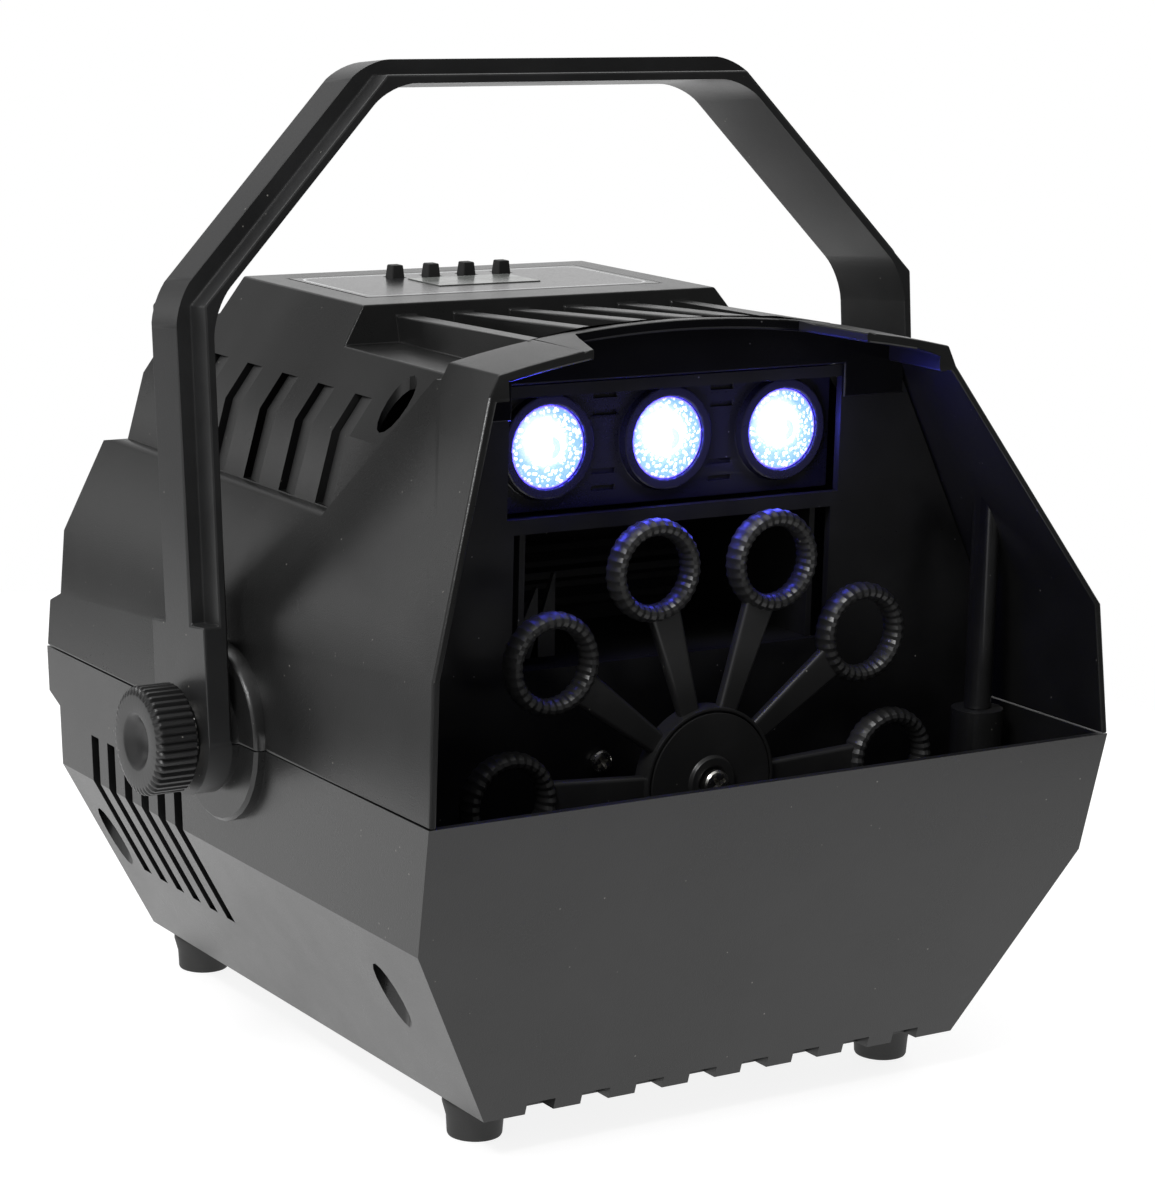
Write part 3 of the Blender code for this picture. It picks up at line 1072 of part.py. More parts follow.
def knobs(plastic, steel):
    """On each side: ribbed knob, threaded stud, washer and the nut held in the casing."""
    centre = (PIVOT_Y, SPLIT_Z)
    for across, side in (("left", -1), ("right", 1)):
        origin = (side * KNOB_INNER_X, *centre)
        face = KNOB_INNER_X + KNOB_DEPTH
        ribs = []
        for i in range(KNOB_RIBS):
            for radius, share in ((KNOB_RADIUS - KNOB_RIB_DEPTH, 0.0), (KNOB_RADIUS, 0.3),
                                  (KNOB_RADIUS, 0.7)):
                turn = 2 * pi * (i + share) / KNOB_RIBS
                ribs.append((centre[0] + radius * cos(turn), centre[1] + radius * sin(turn)))
        knob = prism(f"knob_{across}", ribs, "x", *sorted((side * KNOB_INNER_X, side * face)), plastic,
                     origin)
        dish = turned(f"knob dish {across}", [(0, side * (face - KNOB_DISH_DEPTH)),
                                              (KNOB_DISH_RADIUS * 0.45, side * (face - KNOB_DISH_DEPTH)),
                                              (KNOB_DISH_RADIUS, side * face),
                                              (KNOB_DISH_RADIUS, side * (face + WALL)),
                                              (0, side * (face + WALL))],
                      "x", centre, ROUND_SIDES)
        stud_room = prism(f"knob bore {across}", circle(STUD_RADIUS + GAP, SMALL_SIDES, centre), "x",
                          *sorted((side * (KNOB_INNER_X - WALL), side * (KNOB_INNER_X + STUD_IN_KNOB))))
        combine(knob, "DIFFERENCE", dish, stud_room)
        stud_tip = NUT_OUTER_X - NUT_DEPTH - GAP
        stud_end = KNOB_INNER_X + STUD_IN_KNOB - GAP
        turned(f"knob_stud_{across}", [(0, side * stud_tip), (STUD_RADIUS - STUD_EDGE, side * stud_tip),
                                       (STUD_RADIUS, side * (stud_tip + STUD_EDGE)),
                                       (STUD_RADIUS, side * stud_end),
                                       (0, side * stud_end)], "x", centre, SMALL_SIDES, steel, origin)
        low = side * (HANDLE_OUTER_X + GAP)
        high = side * (HANDLE_OUTER_X + GAP + WASHER_THICKNESS)
        bore = STUD_RADIUS + GAP
        turned(f"washer_{across}", [(bore, low), (WASHER_RADIUS, low), (WASHER_RADIUS, high), (bore, high)],
               "x", centre, ROUND_SIDES, steel, origin)
        nut = prism(f"captive_nut_{across}", circle(NUT_FLATS / 2 / cos(pi / 6), 6, centre, pi / 6), "x",
                    *sorted((side * (NUT_OUTER_X - NUT_DEPTH), side * NUT_OUTER_X)), steel)
        nut_bore = prism(f"nut bore {across}", circle(bore, SMALL_SIDES, centre), "x",
                         *sorted((side * (NUT_OUTER_X - 2 * NUT_DEPTH), side * (NUT_OUTER_X + NUT_DEPTH))))
        combine(nut, "DIFFERENCE", nut_bore)


def build():
    for obj in list(bpy.data.objects):
        bpy.data.objects.remove(obj)
    casing = material("casing_plastic", (0.020, 0.021, 0.022), 0.42)
    inner = material("inner_plastic", (0.012, 0.012, 0.013), 0.30)
    soft = material("handle_plastic", (0.024, 0.025, 0.025), 0.48)
    rubber = material("rubber", (0.014, 0.014, 0.014), 0.75)
    steel = material("steel", (0.62, 0.62, 0.60), 0.32, 1.0)
    can = material("motor_steel", (0.42, 0.42, 0.41), 0.45, 1.0)
    clear = material("lens_clear", (0.86, 0.93, 1.0), 0.10)
    board = material("circuit_board", (0.02, 0.16, 0.07), 0.50)
    label = material("label_film", (0.03, 0.03, 0.032), 0.35)
    window = material("display_glass", (0.30, 0.31, 0.31), 0.12)
    upper_casing(casing)
    lower_casing(casing)
    feet(rubber)
    casing_screws(steel)
    back_plate(inner)
    lamps(inner, clear, board)
    bubble_wheel(inner)
    wheel_drive(inner, steel, can)
    blower(inner, inner, steel, can)
    controls(label, window, rubber, board)
    rear_fittings(casing, steel, can)
    handle(soft)
    knobs(soft, steel)


build()
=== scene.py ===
from math import cos, pi, radians, sin

import bmesh
import bpy
from mathutils import Matrix, Vector


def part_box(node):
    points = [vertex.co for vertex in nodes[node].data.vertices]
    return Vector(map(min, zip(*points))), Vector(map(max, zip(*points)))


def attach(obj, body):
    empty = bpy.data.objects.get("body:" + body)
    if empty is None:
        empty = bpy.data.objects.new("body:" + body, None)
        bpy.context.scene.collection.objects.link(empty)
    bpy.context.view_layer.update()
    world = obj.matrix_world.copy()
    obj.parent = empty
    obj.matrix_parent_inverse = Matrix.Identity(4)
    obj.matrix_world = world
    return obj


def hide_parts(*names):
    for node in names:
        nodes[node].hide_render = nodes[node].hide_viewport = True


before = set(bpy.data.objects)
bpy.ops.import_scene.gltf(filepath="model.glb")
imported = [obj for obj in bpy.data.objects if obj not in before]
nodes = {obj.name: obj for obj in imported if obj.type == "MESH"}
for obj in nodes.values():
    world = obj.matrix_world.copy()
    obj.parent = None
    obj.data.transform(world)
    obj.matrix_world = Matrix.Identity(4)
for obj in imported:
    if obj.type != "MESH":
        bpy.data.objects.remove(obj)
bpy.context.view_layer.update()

# Camera. A long lens a little above the machine, turned to its left front corner, with the
# whole machine filling most of the frame.
CAMERA_PLACE = Vector((-0.56035, -0.88637, 0.35711))
CAMERA_YAW = radians(32.6)
CAMERA_DIP = radians(11.93)
CAMERA_ROLL = radians(1.45)
LENS_MM = 104.05
FILM_MM = 36.0

forward = Vector((sin(CAMERA_YAW) * cos(CAMERA_DIP), cos(CAMERA_YAW) * cos(CAMERA_DIP), -sin(CAMERA_DIP)))
level_right = forward.cross(Vector((0, 0, 1))).normalized()
level_up = level_right.cross(forward)
right = level_right * cos(CAMERA_ROLL) + level_up * sin(CAMERA_ROLL)
up = level_up * cos(CAMERA_ROLL) - level_right * sin(CAMERA_ROLL)
camera_data = bpy.data.cameras.new("camera")
camera_data.lens = LENS_MM
camera_data.sensor_fit = "VERTICAL"
camera_data.sensor_height = FILM_MM
camera_data.clip_start = 0.01
camera = bpy.data.objects.new("camera", camera_data)
camera.matrix_world = Matrix((
    (right.x, up.x, -forward.x, CAMERA_PLACE.x),
    (right.y, up.y, -forward.y, CAMERA_PLACE.y),
    (right.z, up.z, -forward.z, CAMERA_PLACE.z),
    (0, 0, 0, 1)))
bpy.context.scene.collection.objects.link(camera)
bpy.context.scene.camera = camera
bpy.context.scene.view_settings.view_transform = "Standard"

# Floor. A round light table: a white sheet that glows faintly from below, so that the machine stands
# on white with only a soft shadow round its feet.
FLOOR_RADIUS = 0.58
FLOOR_MIDDLE = Vector((-0.12, 0.14, 0.0))
FLOOR_WHITE = 0.28
FLOOR_GLOW = 0.86
sheet = bmesh.new()
bmesh.ops.create_circle(sheet, segments=96, radius=FLOOR_RADIUS, cap_ends=True)
bmesh.ops.translate(sheet, vec=FLOOR_MIDDLE, verts=sheet.verts)
floor_mesh = bpy.data.meshes.new("floor")
sheet.to_mesh(floor_mesh)
sheet.free()
floor = bpy.data.objects.new("floor", floor_mesh)
bpy.context.scene.collection.objects.link(floor)
table = bpy.data.materials.new("light_table")
table.use_nodes = True
table_shader = table.node_tree.nodes["Principled BSDF"]
table_shader.inputs["Base Color"].default_value = (FLOOR_WHITE, FLOOR_WHITE, FLOOR_WHITE, 1)
table_shader.inputs["Roughness"].default_value = 0.8
table_shader.inputs["Emission Color"].default_value = (1, 1, 1, 1)
table_shader.inputs["Emission Strength"].default_value = FLOOR_GLOW
floor_mesh.materials.append(table)

# Lights. A white studio whose walls glow evenly but for the open right front and the left rear, with a
# soft panel overhead, a weak one at the left rear and a small bright one at the left front.
OPEN_BRIGHTNESS = 0.08
OPEN_SIDE = Vector((0.50, -0.86, -0.05)).normalized()
DOOR_BRIGHTNESS = 0.32
DOOR_SIDE = Vector((-0.70, 0.70, 0.10)).normalized()
world = bpy.data.worlds.new("studio")
world.use_nodes = True
room = world.node_tree
backdrop = room.nodes["Background"]
seen = room.nodes.new("ShaderNodeBackground")
outlook = room.nodes.new("ShaderNodeTexCoord").outputs["Generated"]


def dimmed_towards(side, start, full, brightness):
    """How bright the room is where it dims towards one side."""
    facing = room.nodes.new("ShaderNodeVectorMath")
    facing.operation = "DOT_PRODUCT"
    facing.inputs[1].default_value = side
    room.links.new(outlook, facing.inputs[0])
    fade = room.nodes.new("ShaderNodeMapRange")
    fade.interpolation_type = "SMOOTHSTEP"
    for title, value in (("From Min", start), ("From Max", full), ("To Min", 1.0), ("To Max", brightness)):
        fade.inputs[title].default_value = value
    room.links.new(facing.outputs["Value"], fade.inputs["Value"])
    return fade.outputs["Result"]


dimmed = room.nodes.new("ShaderNodeMath")
dimmed.operation = "MULTIPLY"
room.links.new(dimmed_towards(OPEN_SIDE, -0.10, 0.75, OPEN_BRIGHTNESS), dimmed.inputs[0])
room.links.new(dimmed_towards(DOOR_SIDE, 0.20, 0.85, DOOR_BRIGHTNESS), dimmed.inputs[1])
room.links.new(dimmed.outputs[0], backdrop.inputs["Strength"])
backdrop.inputs["Color"].default_value = (1.0, 1.0, 1.0, 1)
seen.inputs["Color"].default_value = (1.0, 1.0, 1.0, 1)
either = room.nodes.new("ShaderNodeMixShader")
room.links.new(room.nodes.new("ShaderNodeLightPath").outputs["Is Camera Ray"], either.inputs[0])
room.links.new(backdrop.outputs[0], either.inputs[1])
room.links.new(seen.outputs[0], either.inputs[2])
room.links.new(either.outputs[0], room.nodes["World Output"].inputs["Surface"])
bpy.context.scene.world = world


def soft_panel(name, place, target, width, height, watts):
    """A rectangular studio light that faces a point."""
    data = bpy.data.lights.new(name, "AREA")
    data.shape = "RECTANGLE"
    data.size, data.size_y, data.energy = width, height, watts
    lamp = bpy.data.objects.new(name, data)
    turn = (Vector(target) - Vector(place)).to_track_quat("-Z", "Y").to_matrix().to_4x4()
    lamp.matrix_world = Matrix.Translation(place) @ turn
    bpy.context.scene.collection.objects.link(lamp)


soft_panel("overhead panel", (-0.2, 0.5, 1.5), (0, 0, 0.1), 1.4, 1.0, 7)
soft_panel("rear panel", (-1.05, 1.45, 0.55), (0, 0, 0.2), 0.5, 0.5, 0.9)
soft_panel("front panel", (-0.75, -0.42, 1.14), (-0.10, -0.10, 0.18), 0.34, 0.34, 8)

# Lower casing. The bottom shell is an injection moulding in black ABS: spark-eroded grain outside,
# polished inside. Its front part is the fluid tank, with drain notches under the front edge.
MERGE = 1e-6
SHARP_EDGE = radians(24)
CASING_EDGE = 0.0006
CAVITY_MIDDLE = Vector((0.0, 0.0, 0.125))


def feed(tree, socket, value):
    """Set a socket to a value, or link it where the value is another node's output."""
    if isinstance(value, bpy.types.NodeSocket):
        tree.links.new(value, socket)
    else:
        socket.default_value = value


def maths(tree, operation, a, b=0.0, clamp=False):
    """A maths node's result."""
    made = tree.nodes.new("ShaderNodeMath")
    made.operation, made.use_clamp = operation, clamp
    feed(tree, made.inputs[0], a)
    feed(tree, made.inputs[1], b)
    return made.outputs[0]


def texture(tree, kind, output, **inputs):
    """A texture node's output, with its inputs given by name."""
    made = tree.nodes.new(kind)
    for name, value in inputs.items():
        feed(tree, made.inputs[name.replace("_", " ")], value)
    return made.outputs[output]


def span(tree, value, low, high):
    """A smooth mask that is 0 below low and 1 above high."""
    made = tree.nodes.new("ShaderNodeMapRange")
    made.interpolation_type = "SMOOTHSTEP"
    for title, number in (("Value", value), ("From Min", low), ("From Max", high)):
        feed(tree, made.inputs[title], number)
    return made.outputs["Result"]


def blended(tree, share, first, second):
    """Two colours mixed by a share."""
    made = tree.nodes.new("ShaderNodeMix")
    made.data_type = "RGBA"
    for socket, value in ((0, share), (6, first), (7, second)):
        feed(tree, made.inputs[socket], value)
    return made.outputs[2]


def effect(name, inputs):
    """An empty shader node group that takes the given values and gives colour, roughness and height."""
    group = bpy.data.node_groups.new(name, "ShaderNodeTree")
    for title, start in inputs.items():
        kind = "NodeSocketColor" if isinstance(start, tuple) else "NodeSocketFloat"
        group.interface.new_socket(title, in_out="INPUT", socket_type=kind).default_value = start
    group.interface.new_socket("Colour", in_out="OUTPUT", socket_type="NodeSocketColor")
    for title in ("Roughness", "Height"):
        group.interface.new_socket(title, in_out="OUTPUT", socket_type="NodeSocketFloat")
    place = group.nodes.new("ShaderNodeTexCoord").outputs["Object"]
    return group, group.nodes.new("NodeGroupInput").outputs, group.nodes.new("NodeGroupOutput").inputs, place


def moulded_skin():
    """The face of a plastic moulding: spark-eroded grain, handling haze, settled dust, faint scratches."""
    group, given, result, place = effect("moulded_skin", {
        "Colour": (0.02, 0.02, 0.02, 1.0), "Roughness": 0.4, "Grain Size": 0.0004, "Haze": 0.1, "Dust": 0.5})
    grain_scale = maths(group, "DIVIDE", 1.0, given["Grain Size"])
    grain = texture(group, "ShaderNodeTexNoise", "Fac", Vector=place, Scale=grain_scale, Detail=2.0)
    cloud = texture(group, "ShaderNodeTexNoise", "Fac", Vector=place, Scale=24.0, Detail=5.0, Roughness=0.6)
    haze = maths(group, "MULTIPLY", span(group, cloud, 0.35, 0.70), given["Haze"])
    cell = texture(group, "ShaderNodeTexVoronoi", "Distance", Vector=place, Scale=300.0)
    patch = texture(group, "ShaderNodeTexNoise", "Fac", Vector=place, Scale=110.0, Detail=1.0)
    speck = maths(group, "MULTIPLY", maths(group, "SUBTRACT", 1.0, span(group, cell, 0.05, 0.10)),
                  span(group, patch, 0.60, 0.64))
    dust = maths(group, "MULTIPLY", speck, given["Dust"])
    drawn = group.nodes.new("ShaderNodeMapping")
    feed(group, drawn.inputs["Vector"], place)
    drawn.inputs["Rotation"].default_value = (0.3, 0.5, 0.9)
    drawn.inputs["Scale"].default_value = (40.0, 1100.0, 260.0)
    line = texture(group, "ShaderNodeTexNoise", "Fac", Vector=drawn.outputs["Vector"], Scale=1.0, Detail=1.0)
    scratch = maths(group, "MULTIPLY", span(group, line, 0.70, 0.73), haze)
    hazed = blended(group, haze, given["Colour"], (0.06, 0.06, 0.062, 1.0))
    feed(group, result["Colour"], blended(group, dust, hazed, (0.34, 0.33, 0.30, 1.0)))
    uneven = maths(group, "MULTIPLY", maths(group, "SUBTRACT", grain, 0.5), 0.12)
    worn = maths(group, "ADD", maths(group, "MULTIPLY", haze, 0.5), maths(group, "MULTIPLY", dust, 0.3))
    rough = maths(group, "ADD", given["Roughness"], maths(group, "ADD", uneven, worn))
    feed(group, result["Roughness"], maths(group, "ADD", rough, 0.0, clamp=True))
    relief = maths(group, "SUBTRACT", grain, maths(group, "MULTIPLY", scratch, 3.0))
    feed(group, result["Height"], maths(group, "ADD", relief, dust))
    return group


MOULDED_SKIN = moulded_skin()


def surface(name, group, values, relief, **fixed):
    """A material whose colour, roughness and relief come from an effect; the rest is set on the shader."""
    finish = bpy.data.materials.new(name)
    finish.use_nodes = True
    tree = finish.node_tree
    shader = tree.nodes["Principled BSDF"]
    made = tree.nodes.new("ShaderNodeGroup")
    made.node_tree = group
    for title, value in values.items():
        made.inputs[title].default_value = (*value, 1.0) if isinstance(value, tuple) else value
    for title, value in fixed.items():
        shader.inputs[title.replace("_", " ")].default_value = value
    feed(tree, shader.inputs["Base Color"], made.outputs["Colour"])
    feed(tree, shader.inputs["Roughness"], made.outputs["Roughness"])
    bump = texture(tree, "ShaderNodeBump", "Normal", Height=made.outputs["Height"], Distance=relief)
    feed(tree, shader.inputs["Normal"], bump)
    return finish


def plastic(name, colour, roughness, grain, relief, haze=0.10, dust=0.5, **fixed):
    values = {"Colour": colour, "Roughness": roughness, "Grain Size": grain, "Haze": haze, "Dust": dust}
    return surface(name, MOULDED_SKIN, values, relief, **fixed)


def dressed(finish, *names):
    """Give CAD nodes their real finish."""
    for name in names:
        mesh = nodes[name].data
        mesh.materials.clear()
        mesh.materials.append(finish)


def finished(name, bm, body, finishes, replaced=(), sharp=SHARP_EDGE):
    """Turn a bmesh into a named piece that rides on a body and may stand for CAD nodes."""
    mesh = bpy.data.meshes.new(name)
    bm.to_mesh(mesh)
    bm.free()
    for finish in finishes:
        mesh.materials.append(finish)
    mesh.shade_smooth()
    mesh.set_sharp_from_angle(angle=sharp)
    piece = bpy.data.objects.new(name, mesh)
    bpy.context.scene.collection.objects.link(piece)
    even = piece.modifiers.new("flat faces stay flat", "WEIGHTED_NORMAL")
    even.keep_sharp = True
    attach(piece, body)
    if replaced:
        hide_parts(*replaced)
    return piece


def merged(node):
    """A CAD node's shape as one closed skin with its flat faces whole."""
    bm = bmesh.new()
    bm.from_mesh(nodes[node].data)
    bmesh.ops.remove_doubles(bm, verts=bm.verts, dist=MERGE)
    bmesh.ops.dissolve_limit(bm, angle_limit=radians(0.6), verts=bm.verts, edges=bm.edges)
    return bm


def softened(node, width, shortest=0.003, segments=2, clamp=True, left_sharp=None, bm=None):
    """A CAD node's shape with its longer edges rounded as the mould leaves them."""
    bm = bm or merged(node)
    bm.normal_update()
    edges = [edge for edge in bm.edges if edge.is_manifold and edge.calc_length() > shortest
             and edge.calc_face_angle(0) > SHARP_EDGE]
    if left_sharp:
        edges = [edge for edge in edges if not any(left_sharp(vert.co) for vert in edge.verts)]
    bmesh.ops.bevel(bm, geom=edges, offset=width, offset_type="OFFSET", affect="EDGES", segments=segments,
                    profile=0.5, material=-1, clamp_overlap=clamp)
    return bm


def polish_inside(bm, top):
    """Give the faces that look into the casing's cavity the second finish."""
    for face in bm.faces:
        middle = face.calc_center_median()
        if middle.z < top and face.normal.dot((middle - CAVITY_MIDDLE).normalized()) < -0.1:
            face.material_index = 1


casing_plastic = plastic("casing_plastic", (0.0095, 0.0096, 0.0095), 0.29, 0.00042, 0.00005,
                         Specular_IOR_Level=0.5)
core_plastic = plastic("core_plastic", (0.0050, 0.0050, 0.0052), 0.32, 0.0012, 0.000006, haze=0.05, dust=0.35)
lower_shell = softened("lower_casing", CASING_EDGE)
polish_inside(lower_shell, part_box("lower_casing")[1].z - 0.002)
finished("lower_shell", lower_shell, "casing", [casing_plastic, core_plastic],
         ["lower_casing"])

# Feet. Four turned-looking stubs of black rubber, moulded with a slight taper and a hollow underneath,
# pushed onto pins in the lower casing.
FOOT_HOLLOW_RADIUS = 0.0042
FOOT_HOLLOW_DEPTH = 0.0016


def turned(profile, centre, axis="z", steps=48):
    """A bmesh spun a full turn from a profile of (radius, height along the axis) points."""
    bm = bmesh.new()
    verts = [bm.verts.new((radius, 0.0, height)) for radius, height in profile]
    for first, second in zip(verts, verts[1:]):
        bm.edges.new((first, second))
    bmesh.ops.spin(bm, geom=bm.verts[:] + bm.edges[:], cent=(0, 0, 0), axis=(0, 0, 1), angle=2 * pi,
                   steps=steps, use_merge=True)
    bmesh.ops.remove_doubles(bm, verts=bm.verts, dist=MERGE)
    bmesh.ops.dissolve_degenerate(bm, edges=bm.edges, dist=MERGE)
    bmesh.ops.recalc_face_normals(bm, faces=bm.faces)
    turn = {"z": Matrix(), "y": Matrix.Rotation(pi / 2, 4, "X"), "x": Matrix.Rotation(pi / 2, 4, "Y")}[axis]
    bmesh.ops.transform(bm, matrix=Matrix.Translation(centre) @ turn, verts=bm.verts)
    return bm


def rounded(bm, width, segments=2, sharp=radians(30)):
    """Round the sharp edges of a shape."""
    bm.normal_update()
    edges = [edge for edge in bm.edges if edge.is_manifold and edge.calc_face_angle(0) > sharp]
    bmesh.ops.bevel(bm, geom=edges, offset=width, offset_type="OFFSET", affect="EDGES", segments=segments,
                    profile=0.5, material=-1, clamp_overlap=True)
    return bm


rubber = plastic("rubber", (0.016, 0.016, 0.0155), 0.62, 0.0005, 0.00004, haze=0.25, dust=0.8)
for corner in ("front_left", "front_right", "rear_left", "rear_right"):
    low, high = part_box(f"foot_{corner}")
    middle = (low + high) / 2
    top_radius = (high.x - low.x) / 2
    height = high.z - low.z
    foot = turned([(0, FOOT_HOLLOW_DEPTH), (FOOT_HOLLOW_RADIUS, FOOT_HOLLOW_DEPTH), (FOOT_HOLLOW_RADIUS, 0),
                   (top_radius - 0.0016, 0), (top_radius - 0.0012, height * 0.5), (top_radius, height * 0.86),
                   (top_radius, height), (0, height)], (middle.x, middle.y, low.z))
    finished(f"rubber_foot_{corner}", rounded(foot, 0.0007), "casing", [rubber], [f"foot_{corner}"])

# Casing screws. Zinc-plated steel self-tappers with a cross recess, driven up the post bores from below
# into the posts of the upper casing.
CROSS_REACH = 0.62
CROSS_HALF = 0.15


def plated_steel():
    """Plated or drawn steel: fine draw lines, cloudy plating, dull smudges."""
    group, given, result, place = effect("plated_steel", {
        "Colour": (0.6, 0.6, 0.58, 1.0), "Roughness": 0.3, "Line Scale": 900.0, "Smudge": 0.4})
    lines = group.nodes.new("ShaderNodeMapping")
    feed(group, lines.inputs["Vector"], place)
    lines.inputs["Scale"].default_value = (1.0, 0.06, 1.0)
    drawn = texture(group, "ShaderNodeTexNoise", "Fac", Vector=lines.outputs["Vector"],
                    Scale=given["Line Scale"], Detail=2.0)
    cloud = texture(group, "ShaderNodeTexNoise", "Fac", Vector=place, Scale=160.0, Detail=3.0)
    smudge = maths(group, "MULTIPLY", span(group, cloud, 0.45, 0.75), given["Smudge"])
    feed(group, result["Colour"], blended(group, smudge, given["Colour"], (0.20, 0.19, 0.17, 1.0)))
    uneven = maths(group, "MULTIPLY", drawn, 0.16)
    feed(group, result["Roughness"], maths(group, "ADD", given["Roughness"], maths(
        group, "ADD", uneven, maths(group, "MULTIPLY", smudge, 0.3)), clamp=True))
    feed(group, result["Height"], drawn)
    return group


PLATED_STEEL = plated_steel()
steel = surface("plated_steel", PLATED_STEEL, {"Colour": (0.62, 0.61, 0.58), "Roughness": 0.16}, 0.00001,
                Metallic=1.0)


def drawn_out(bm, edges, moves):
    """Extrude a closed loop of edges again and again; each move is a scale about the axis and a lift."""
    for scale, lift in moves:
        made = bmesh.ops.extrude_edge_only(bm, edges=edges)["geom"]
        edges = [item for item in made if isinstance(item, bmesh.types.BMEdge)]
        verts = [item for item in made if isinstance(item, bmesh.types.BMVert)]
        bmesh.ops.scale(bm, vec=(scale, scale, 1), verts=verts)
        bmesh.ops.translate(bm, vec=(0, 0, lift), verts=verts)
    bmesh.ops.holes_fill(bm, edges=edges, sides=0)


def cross_screw(radius, depth, shank, length, place, facing):
    """A pan-head screw with a cross recess, its head's face at the place given."""
    bm = bmesh.new()
    reach, half = radius * CROSS_REACH, radius * CROSS_HALF
    cross = [(reach, half), (half, half), (half, reach), (-half, reach), (-half, half), (-reach, half),
             (-reach, -half), (-half, -half), (-half, -reach), (half, -reach), (half, -half), (reach, -half)]
    corners = [bm.verts.new((x, y, 0)) for x, y in cross]
    recess = [bm.edges.new((corners[i - 1], corners[i])) for i in range(len(corners))]
    bmesh.ops.create_circle(bm, segments=24, radius=radius * 0.72, cap_ends=False)
    rim = [edge for edge in bm.edges if edge not in recess]
    bmesh.ops.bridge_loops(bm, edges=recess + rim)
    drawn_out(bm, recess, [(0.82, -depth * 0.45), (0.3, -depth * 0.35)])
    drawn_out(bm, rim, [(0.90 / 0.72, -depth * 0.10), (1.0 / 0.90, -depth * 0.30), (1.0, -depth * 0.60),
                        (shank / radius, 0.0), (1.0, -length), (0.3, -shank)])
    bmesh.ops.remove_doubles(bm, verts=bm.verts, dist=MERGE)
    bmesh.ops.recalc_face_normals(bm, faces=bm.faces)
    bmesh.ops.transform(bm, matrix=Matrix.Translation(place) @ facing, verts=bm.verts)
    return bm


FACING_DOWN = Matrix.Rotation(pi, 4, "X") @ Matrix.Rotation(radians(20), 4, "Z")
FACING_FRONT = Matrix.Rotation(pi / 2, 4, "X") @ Matrix.Rotation(radians(32), 4, "Z")
for corner in ("front_left", "front_right", "rear_left", "rear_right"):
    low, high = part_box(f"casing_screw_{corner}")
    middle = (low + high) / 2
    screw = cross_screw((high.x - low.x) / 2, 0.0024, 0.0015, high.z - low.z - 0.0042,
                        (middle.x, middle.y, low.z), FACING_DOWN)
    finished(f"self_tapper_{corner}", screw, "casing", [steel], [f"casing_screw_{corner}"])

# Wheel gear motor. A small can motor behind a flat spur gearbox, both in drawn steel, with a ground
# steel shaft through the back plate to the wheel.
motor_steel = surface("motor_steel", PLATED_STEEL, {"Colour": (0.42, 0.41, 0.38), "Roughness": 0.34,
                                                     "Line Scale": 500.0}, 0.00002, Metallic=1.0)
dressed(motor_steel, "gearbox", "gear_motor")
dressed(steel, "drive_shaft")

# Back plate. A flat moulding with windows for the air duct and the lamps, held between the casings
# behind the wheel.
PLATE_EDGE = 0.0007
inner_plastic = plastic("inner_plastic", (0.0060, 0.0060, 0.0062), 0.30, 0.0007, 0.00002, haze=0.12, dust=0.7)
finished("back_panel", softened("back_plate", PLATE_EDGE), "casing", [inner_plastic],
         ["back_plate"])

# Blower. A cross-flow fan in a moulded scroll blows through the duct window; its rotor runs on a steel
# shaft from a can motor at the side. Two pointed vanes stand in the left of the duct mouth.
VANES = ((-0.0480, 0.0100, 0.0205), (-0.0415, 0.0085, 0.0245))
VANE_DEPTH = 0.0016
VANE_FOOT_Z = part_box("blower_housing")[0].z + 0.0260
scroll = softened("blower_housing", PLATE_EDGE)
for vane_x, vane_width, vane_height in VANES:
    tip = bmesh.ops.create_cube(scroll, size=1.0)["verts"]
    bmesh.ops.scale(scroll, vec=(vane_width, VANE_DEPTH, vane_height), verts=tip)
    bmesh.ops.scale(scroll, vec=(0.06, 1, 1), verts=[vert for vert in tip if vert.co.z > 0])
    bmesh.ops.translate(scroll, vec=(vane_width * 0.42, 0, 0), verts=[vert for vert in tip if vert.co.z > 0])
    bmesh.ops.translate(scroll, verts=tip, vec=(
        vane_x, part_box("blower_housing")[0].y + 0.004, VANE_FOOT_Z + vane_height / 2))
finished("blower_scroll", scroll, "casing", [inner_plastic], ["blower_housing"])
rotor_plastic = plastic("rotor_plastic", (0.020, 0.020, 0.021), 0.42, 0.0006, 0.00001, haze=0.2, dust=1.0)
dressed(rotor_plastic, "blower_impeller")
dressed(steel, "blower_shaft")
dressed(motor_steel, "blower_motor")

# Lamp bezel. A moulded strip behind the plate's upper window, with a raised collar round each lamp and
# pairs of short cooling slots between the collars.
SLOT_HALF_X = 0.0042
SLOT_RISES = (0.0086, 0.0136)
SLOT_HALF_Z = 0.0008
SLOT_SINK = 0.0012
LAMP_PITCH = (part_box("led_lens_right")[0].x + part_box("led_lens_right")[1].x) / 2
LAMP_Z = (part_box("led_lens_centre")[0].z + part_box("led_lens_centre")[1].z) / 2
bezel_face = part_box("led_bezel")[0].y + 0.0030
bezel = softened("led_bezel", 0.0006, shortest=0.0008)
slots = [(side * LAMP_PITCH / 2, LAMP_Z + way * rise)
         for side in (-1, 1) for way in (-1, 1) for rise in SLOT_RISES]
cuts = {("x", x + way * SLOT_HALF_X) for x, z in slots for way in (-1, 1)}
cuts |= {("z", z + way * SLOT_HALF_Z) for x, z in slots for way in (-1, 1)}
for axis, place in sorted(cuts):
    along = Vector((1, 0, 0)) if axis == "x" else Vector((0, 0, 1))
    bmesh.ops.bisect_plane(bezel, geom=bezel.verts[:] + bezel.edges[:] + bezel.faces[:], dist=MERGE,
                           plane_co=along * place, plane_no=along)
bezel.normal_update()
